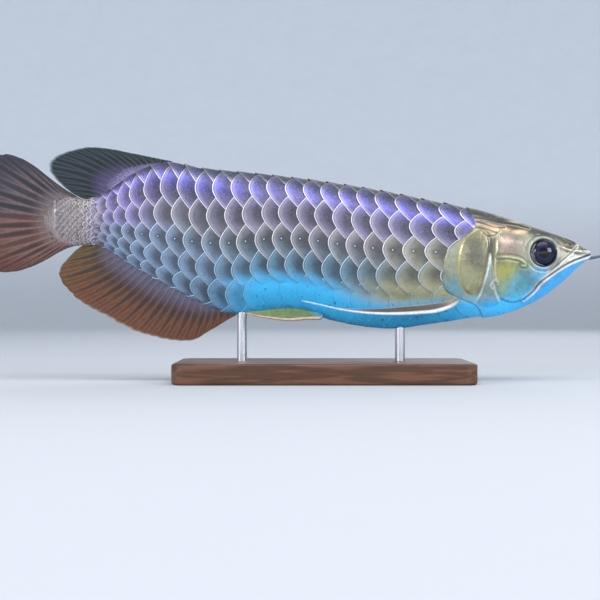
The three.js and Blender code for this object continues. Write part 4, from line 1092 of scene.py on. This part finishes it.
def foot_seat(at, ends, floor, top, gaps):
    """Places for small scales on both faces of a fin's foot: staggered rows across the rays, between the two
    shares of a ray that floor and top give. Returns the seat and how near each place is to the top."""
    found = []
    for level, share in enumerate(np.arange(0.0, 1.0, gaps[1])):
        s = np.arange(*ends, gaps[0]) + (level % 2) * gaps[0] / 2
        within = (share > floor) & (share < top(s))
        found.append(np.stack([s, share + 0 * s, share / np.maximum(top(s), 0.01)], -1)[within])
    s, t, near_top = np.vstack(found).T
    centre = at(s, t)
    along = at(s, t + 0.02) - centre
    along /= np.linalg.norm(along, axis=-1, keepdims=True)
    back = np.array([-0.75, 0, 0]) + 0.5 * along
    back /= np.linalg.norm(back, axis=-1, keepdims=True)
    outs = [np.array([0, side, 0]) + 0 * centre for side in (-1, 1)]
    centres = [centre + out * (foot_thickness(t) / 2)[:, None] for out in outs]
    return (np.vstack(centres), np.vstack([back, back]), np.vstack(outs)), np.tile(near_top, 2)


def beyond_tongue(x, z):
    """How far a place on the tail base lies outside the scaly tongue that reaches back between the rays."""
    return np.abs(z - 96) - curve(TAIL_TONGUE)(x)


def tail_seat():
    """Places for small scales round the tail base, and their X: staggered rings that close up towards the
    tail."""
    x = np.concatenate([np.arange(-119.5, -130, -2.4), np.arange(-130.6, -143.2, -1.8)])
    ring, number = np.divmod(np.arange(len(x) * SCALES_ROUND_TAIL), SCALES_ROUND_TAIL)
    angle = (number + 0.5 * (ring % 2)) / SCALES_ROUND_TAIL * 2 * np.pi + 0.01
    place = skin(x[ring], angle, np.full(len(ring), -0.05))
    out = skin(x[ring], angle, np.ones(len(ring))) - skin(x[ring], angle, np.zeros(len(ring)))
    back = skin(x[ring] - 0.3, angle) - skin(x[ring], angle)
    back /= np.linalg.norm(back, axis=-1, keepdims=True)
    kept = beyond_tongue(place[:, 0], place[:, 2]) < 0.5
    return (place[kept], back[kept], out[kept]), x[ring][kept]


def build_eye(side, word, finish):
    """An eye as a flattened ball whose pole faces outwards. Its rings close up towards the pole, and its
    colour goes by the distance from the middle of its disc."""
    polar = np.linspace(0, np.pi, 62)[1:-1, None]
    turn = round_angles(72)[None, :]
    x, y, z, deep = [EYE[key] for key in ("x", "y", "z", "depth")]
    disc = EYE["radius"] * np.sin(polar) + 0 * turn
    points = np.stack([
        x + disc * np.cos(turn),
        side * (y + deep * np.cos(polar) + 0 * turn),
        z + disc * np.sin(turn),
    ], -1)
    poles = [[x, side * (y + deep), z], [x, side * (y - deep), z]]
    paint = blend(tint(2, 2, 6), tint(14, 18, 52), step(disc, 2.9, 3.6))
    paint = blend(paint, tint(40, 46, 92), 0.7 * ridge(disc - 3.8, 0.35))
    paint = blend(paint, tint(6, 8, 22), step(disc, 5.2, 6.8))
    paint = blend(paint, tint(150, 168, 190), step(disc, 7.45, 7.75) * 0.7)
    faces = closed_rings(*disc.shape)
    if side < 0:
        faces = turned(faces)
    new_piece(
        "glossy_eye_" + word, with_ends(points, poles), faces, finish, ("eye_" + word,),
        {"paint": with_ends(paint, [paint[0, 0], paint[-1, 0]])},
    )


def tube(path, radii, sides):
    """Points round a path: circles of the given radii, square to the path, whose sides run from a fixed
    sideways direction."""
    lead = np.gradient(path, axis=0)
    lead /= np.linalg.norm(lead, axis=1, keepdims=True)
    sideways = np.cross(lead, [0.0, 0.0, 1.0])
    sideways /= np.linalg.norm(sideways, axis=1, keepdims=True)
    up = np.cross(sideways, lead)
    turn = round_angles(sides)[None, :, None]
    out = np.cos(turn) * sideways[:, None] + np.sin(turn) * up[:, None]
    return path[:, None] + radii[:, None, None] * out


def build_barbel(side, word, finish):
    """A barbel: a tapering tube along its path with a rounded tip, the root of 1 - t^24."""
    rings, sides = 60, 20
    path = flow(BARBEL_PATH, rings) * np.array([1, side, 1])
    t = np.linspace(0, 1, rings)
    radii = (1.1 - 0.65 * t) * np.sqrt(np.maximum(1 - t ** 24, 0.02))
    points = tube(path, radii, sides)
    ends = [path[0], path[-1] + 0.04 * (path[-1] - path[-2])]
    faces = turned(closed_rings(rings, sides))
    paint = blend(tint(60, 96, 120), tint(58, 58, 60), t[:, None] + 0 * points[..., 0])
    new_piece(
        "smooth_barbel_" + word, with_ends(points, ends), faces, finish, ("barbel_" + word,),
        {
            "paint": with_ends(paint, [paint[0, 0], paint[-1, 0]]),
            "freckles": np.full(rings * sides + 2, 0.2),
        },
    )


def build_base(look, finish):
    """The stand's base: a profile with rounded edges carried round a rectangle with rounded corners, closed
    by a point in the middle of the top and of the bottom."""
    x, height, corner, soft = [look[key] for key in ("base_x", "base_height", "base_corner", "base_edge")]
    half = np.array([look["base_length"], look["base_width"]]) / 2
    turn = round_angles(96, 0.5)
    out = np.stack([np.cos(turn), np.sin(turn)], -1)
    plan = np.sign(out) * (half - corner) + corner * out
    quarter = np.linspace(0, np.pi / 2, 9)
    sine, cosine = soft * (1 - np.sin(quarter)), soft * (1 - np.cos(quarter))
    inset = np.concatenate([[BASE_FACE_INSET], sine, cosine, [BASE_FACE_INSET]])
    level = np.concatenate([[0], cosine, height - sine, [height]])
    points = np.concatenate([
        plan[None] - inset[:, None, None] * out[None] + np.array([x, 0]),
        level[:, None, None] + np.zeros((1, len(turn), 1)),
    ], -1)
    faces = closed_rings(len(inset), len(turn))
    ends = [[x, 0, 0], [x, 0, height]]
    piece = new_piece("display_base", with_ends(points, ends), faces, finish, ("stand_base",))
    smooth = np.arange(len(faces)) < (len(inset) - 1) * len(turn)
    piece.data.polygons.foreach_set("use_smooth", smooth)


def size_property(name, description, millimetres):
    """A size that a maker may change, which Blender keeps in metres."""
    return bpy.props.FloatProperty(
        name=name, description=description, default=millimetres * MM, unit="LENGTH", subtype="DISTANCE",
        precision=5)


class ModelSizes(bpy.types.PropertyGroup):
    """Sizes that a maker may change."""

    relief: size_property("Scale relief", "How far a scale's free edge stands above the one behind it", 0.78)
    ray_height: size_property("Fin ray height", "How far the rays stand out of the fins", 0.7)
    base_x: size_property("Base place", "Middle of the base along X", 20)
    base_length: size_property("Base length", "Length of the base along X", 176)
    base_width: size_property("Base width", "Width of the base along Y", 92)
    base_height: size_property("Base height", "Height of the base", 12)
    base_corner: size_property("Base corner", "Corner radius of the base", 8)
    base_edge: size_property("Base edge", "Radius of the base's edges", 1.5)


def colour_property(name, description, red, green, blue):
    """A colour that a maker may change."""
    return bpy.props.FloatVectorProperty(
        name=name, description=description, subtype="COLOR", size=3, min=0, max=1,
        default=tuple(tint(red, green, blue)))


class ModelColours(bpy.types.PropertyGroup):
    """Colours that a maker may change."""

    back: colour_property("Back", "Olive of the back", 62, 68, 66)
    upper: colour_property("Upper flank", "Violet of the upper row of scales", 116, 110, 240)
    grey: colour_property("Second row", "Grey mauve of the second row of scales", 104, 100, 110)
    middle: colour_property("Lateral line", "Steel of the row along the lateral line", 98, 108, 116)
    lower: colour_property("Lower flank", "Teal of the lower rows of scales", 92, 140, 166)
    belly: colour_property("Belly", "Azure of the belly", 66, 194, 255)
    rear: colour_property("Rear flank", "Purple of the flank before the tail", 122, 102, 176)
    tail: colour_property("Tail base", "Beige of the small scales at the tail", 140, 131, 136)
    shoulder: colour_property("Shoulder", "Olive beige behind the gill cover", 146, 144, 116)
    wood: colour_property("Base wood", "Brown of the base", 92, 60, 42)
    steel: colour_property("Rod steel", "Grey of the two rods", 196, 198, 204)
    floor: colour_property("Floor", "Pale floor under the model", 184, 188, 194)


def chosen(context):
    """The sizes and colours now chosen, by name, with sizes in millimetres and colours as arrays."""
    sizes, colours = context.scene.arowana_sizes, context.scene.arowana_colours
    look = {key: getattr(sizes, key) / MM for key in ModelSizes.__annotations__}
    look.update({key: np.array(getattr(colours, key)) for key in ModelColours.__annotations__})
    return look


class BuildSkin(bpy.types.Operator):
    """Builds the skin of head, trunk and tail base in one piece."""

    bl_idname = "arowana.build_skin"
    bl_label = "Body skin"

    def execute(self, context):
        build_skin(chosen(context))
        return {"FINISHED"}


class BuildScales(bpy.types.Operator):
    """Builds the large scales of both flanks, the back and the belly."""

    bl_idname = "arowana.build_scales"
    bl_label = "Large scales"

    def execute(self, context):
        look = chosen(context)
        finish = scale_finish()
        draw = np.random.default_rng(SEED)
        build_scales("scales_left", range(1, 6), look, finish, draw)
        build_scales("scales_right", range(7, 12), look, finish, draw)
        build_scales("scales_midline", (0, 6), look, finish, draw)
        return {"FINISHED"}


class BuildFins(bpy.types.Operator):
    """Builds the dorsal, anal, tail, pectoral and pelvic fins, and the small scales of the tail base and of
    the feet of two fins."""

    bl_idname = "arowana.build_fins"
    bl_label = "Fins"

    def execute(self, context):
        look = chosen(context)
        finish = fin_finish()
        small_finish = scale_finish()
        draw = np.random.default_rng(SEED + 1)
        across, up = (0, 1, 0), (0, 0, 1)
        height = look["ray_height"]
        dorsal = standing_fin(DORSAL_ROOT, DORSAL_EDGE, 0.05)
        anal = standing_fin(ANAL_ROOT, ANAL_EDGE, -0.04)
        caudal = standing_fin(CAUDAL_ROOT, CAUDAL_EDGE, 0.0)
        build_fin("dorsal_fin", dorsal, 19, dorsal_colour, finish, across, (1.7, 0.5, height), 0.009, draw)
        build_fin("anal_fin", anal, 27, anal_colour, finish, across, (1.7, 0.5, height), 0.012, draw)
        build_fin("caudal_fin", caudal, 22, caudal_colour, finish, across, (2, 0.5, height), 0.012, draw)
        for side, word in SIDES:
            pectoral = paired_fin(PECTORAL_LEAD, PECTORAL_TRAIL, side)
            pelvic = paired_fin(PELVIC_LEAD, PELVIC_TRAIL, side)
            build_fin(
                "pectoral_fin_" + word, pectoral, 8, pectoral_colour, finish, up, (1.9, 0.6, height), 0, draw,
                rows=90)
            build_fin(
                "pelvic_fin_" + word, pelvic, 7, pelvic_colour, finish, up, (1.6, 0.6, height), 0, draw,
                rows=60)
        seat, near_top = foot_seat(dorsal, (0.04, 0.97), 0.0, curve(DORSAL_SHEATH), (0.017, 0.034))
        high = near_top ** 2
        build_small_scales(
            "dorsal_foot_scales", seat, np.full(len(high), 1.45), 0.35 + 0.6 * high,
            blend(tint(110, 92, 160), tint(60, 66, 88), high),
            blend(tint(206, 176, 222), tint(90, 98, 120), high), small_finish, draw)
        seat, near_top = foot_seat(caudal, (0.2, 0.8), 0.15, curve(TAIL_SHEATH), (0.024, 0.022))
        high = near_top ** 2
        build_small_scales(
            "tail_foot_scales", seat, np.full(len(high), 1.6), 0.3 + 0.65 * high,
            np.tile(tint(112, 99, 98), (len(high), 1)),
            np.tile(tint(184, 174, 168), (len(high), 1)), small_finish, draw)
        seat, x = tail_seat()
        rear = step(-x, 115, 124)
        build_small_scales(
            "tail_base_scales", seat, 3.6 - 1.4 * step(-x, 118, 138), 0.7 * step(-x, 120, 141),
            blend(tint(108, 98, 142), tint(114, 105, 108), rear),
            blend(tint(176, 170, 200), tint(178, 170, 168), rear), small_finish, draw)
        return {"FINISHED"}


class BuildEyes(bpy.types.Operator):
    """Builds both glossy eyes."""

    bl_idname = "arowana.build_eyes"
    bl_label = "Eyes"

    def execute(self, context):
        finish = eye_finish()
        for side, word in SIDES:
            build_eye(side, word, finish)
        return {"FINISHED"}


class BuildBarbels(bpy.types.Operator):
    """Builds the two chin barbels."""

    bl_idname = "arowana.build_barbels"
    bl_label = "Barbels"

    def execute(self, context):
        finish = bpy.data.materials["arowana_wet_skin"]
        for side, word in SIDES:
            build_barbel(side, word, finish)
        return {"FINISHED"}


class BuildStand(bpy.types.Operator):
    """Builds the base and gives the two rods of the frame their brushed steel."""

    bl_idname = "arowana.build_stand"
    bl_label = "Stand"

    def execute(self, context):
        look = chosen(context)
        build_base(look, wood_finish(look["wood"]))
        steel = steel_finish(look["steel"])
        for rod in ("stand_rod_front", "stand_rod_rear"):
            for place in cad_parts[rod].material_slots:
                place.material = steel
        return {"FINISHED"}


def add_lamp(name, place, target, size, power):
    """A soft square lamp that faces its target."""
    lamp = bpy.data.lights.new(name, "AREA")
    lamp.shape = "RECTANGLE"
    lamp.size, lamp.size_y = size
    lamp.energy = power
    holder = bpy.data.objects.new(name, lamp)
    holder.location = place
    away = Vector(place) - Vector(target)
    holder.rotation_euler = away.to_track_quat("Z", "Y").to_euler()
    holder.visible_camera = False
    bpy.context.scene.collection.objects.link(holder)


class BuildStage(bpy.types.Operator):
    """Builds the pale round floor that curves up into a wall all round, the lamps and the camera."""

    bl_idname = "arowana.build_stage"
    bl_label = "Stage"

    def execute(self, context):
        look = chosen(context)
        rise = np.linspace(0, np.pi / 2, 40)
        curved = FLOOR_RADIUS + FLOOR_SWEEP * np.sin(rise)
        reach = np.concatenate([[FLOOR_INNER_RING], curved, curved[-1:]])[:, None]
        level = np.concatenate([[0], WALL_FOOT * (1 - np.cos(rise)), [WALL_TOP]])[:, None]
        turn = round_angles(128)[None, :]
        points = np.stack([reach * np.cos(turn), reach * np.sin(turn), level + 0 * turn], -1)
        j = np.arange(turn.size)
        faces = grid_faces(points.shape[:2], wrap=True)[:, ::-1].tolist()
        faces += np.stack([0 * j + points.size // 3, j, (j + 1) % turn.size], -1).tolist()
        mesh = bpy.data.meshes.new("studio_floor")
        mesh.from_pydata((with_ends(points, [[0, 0, 0]]) * MM).tolist(), [], faces)
        mesh.polygons.foreach_set("use_smooth", np.ones(len(mesh.polygons), bool))
        mesh.materials.append(studio_finish("studio_paper", look["floor"]))
        floor = bpy.data.objects.new("studio_floor", mesh)
        floor.location.z = -0.0002
        context.scene.collection.objects.link(floor)
        for name, (place, target, size, power) in LAMPS.items():
            add_lamp(name, place, target, size, power)
        world = bpy.data.worlds.new("studio_light")
        world.use_nodes = True
        world.node_tree.nodes["Background"].inputs["Color"].default_value = SKY_COLOUR
        world.node_tree.nodes["Background"].inputs["Strength"].default_value = SKY_STRENGTH
        context.scene.world = world
        camera = bpy.data.objects.new("photo_camera", bpy.data.cameras.new("photo_camera"))
        camera.data.lens = CAMERA_LENS
        camera.data.sensor_width = CAMERA_SENSOR
        camera.location = CAMERA_PLACE
        camera.rotation_euler = (np.pi / 2, 0, 0)
        context.scene.collection.objects.link(camera)
        context.scene.camera = camera
        context.scene.view_settings.view_transform = "Standard"
        return {"FINISHED"}


PIECES = (BuildSkin, BuildScales, BuildFins, BuildEyes, BuildBarbels, BuildStand, BuildStage)


class ModelPanel(bpy.types.Panel):
    """Lists the pieces of the model with the sizes and colours they use."""

    bl_idname = "VIEW3D_PT_arowana"
    bl_label = "Arowana model"
    bl_space_type = "VIEW_3D"
    bl_region_type = "UI"
    bl_category = "Arowana"

    def draw(self, context):
        for group in (context.scene.arowana_sizes, context.scene.arowana_colours):
            for key in group.__annotations__:
                self.layout.prop(group, key)
        for piece in PIECES:
            self.layout.operator(piece.bl_idname)


CLASSES = (ModelSizes, ModelColours, *PIECES, ModelPanel)


def register():
    """Registers every class and hangs the sizes and colours on the scene."""
    for item in CLASSES:
        bpy.utils.register_class(item)
    bpy.types.Scene.arowana_sizes = bpy.props.PointerProperty(type=ModelSizes)
    bpy.types.Scene.arowana_colours = bpy.props.PointerProperty(type=ModelColours)


def unregister():
    """Takes all of that away again."""
    del bpy.types.Scene.arowana_sizes
    del bpy.types.Scene.arowana_colours
    for item in reversed(CLASSES):
        bpy.utils.unregister_class(item)


def main():
    """Builds every piece in order."""
    register()
    bpy.ops.arowana.build_skin()
    bpy.ops.arowana.build_scales()
    bpy.ops.arowana.build_fins()
    bpy.ops.arowana.build_eyes()
    bpy.ops.arowana.build_barbels()
    bpy.ops.arowana.build_stand()
    bpy.ops.arowana.build_stage()


if __name__ == "__main__":
    main()
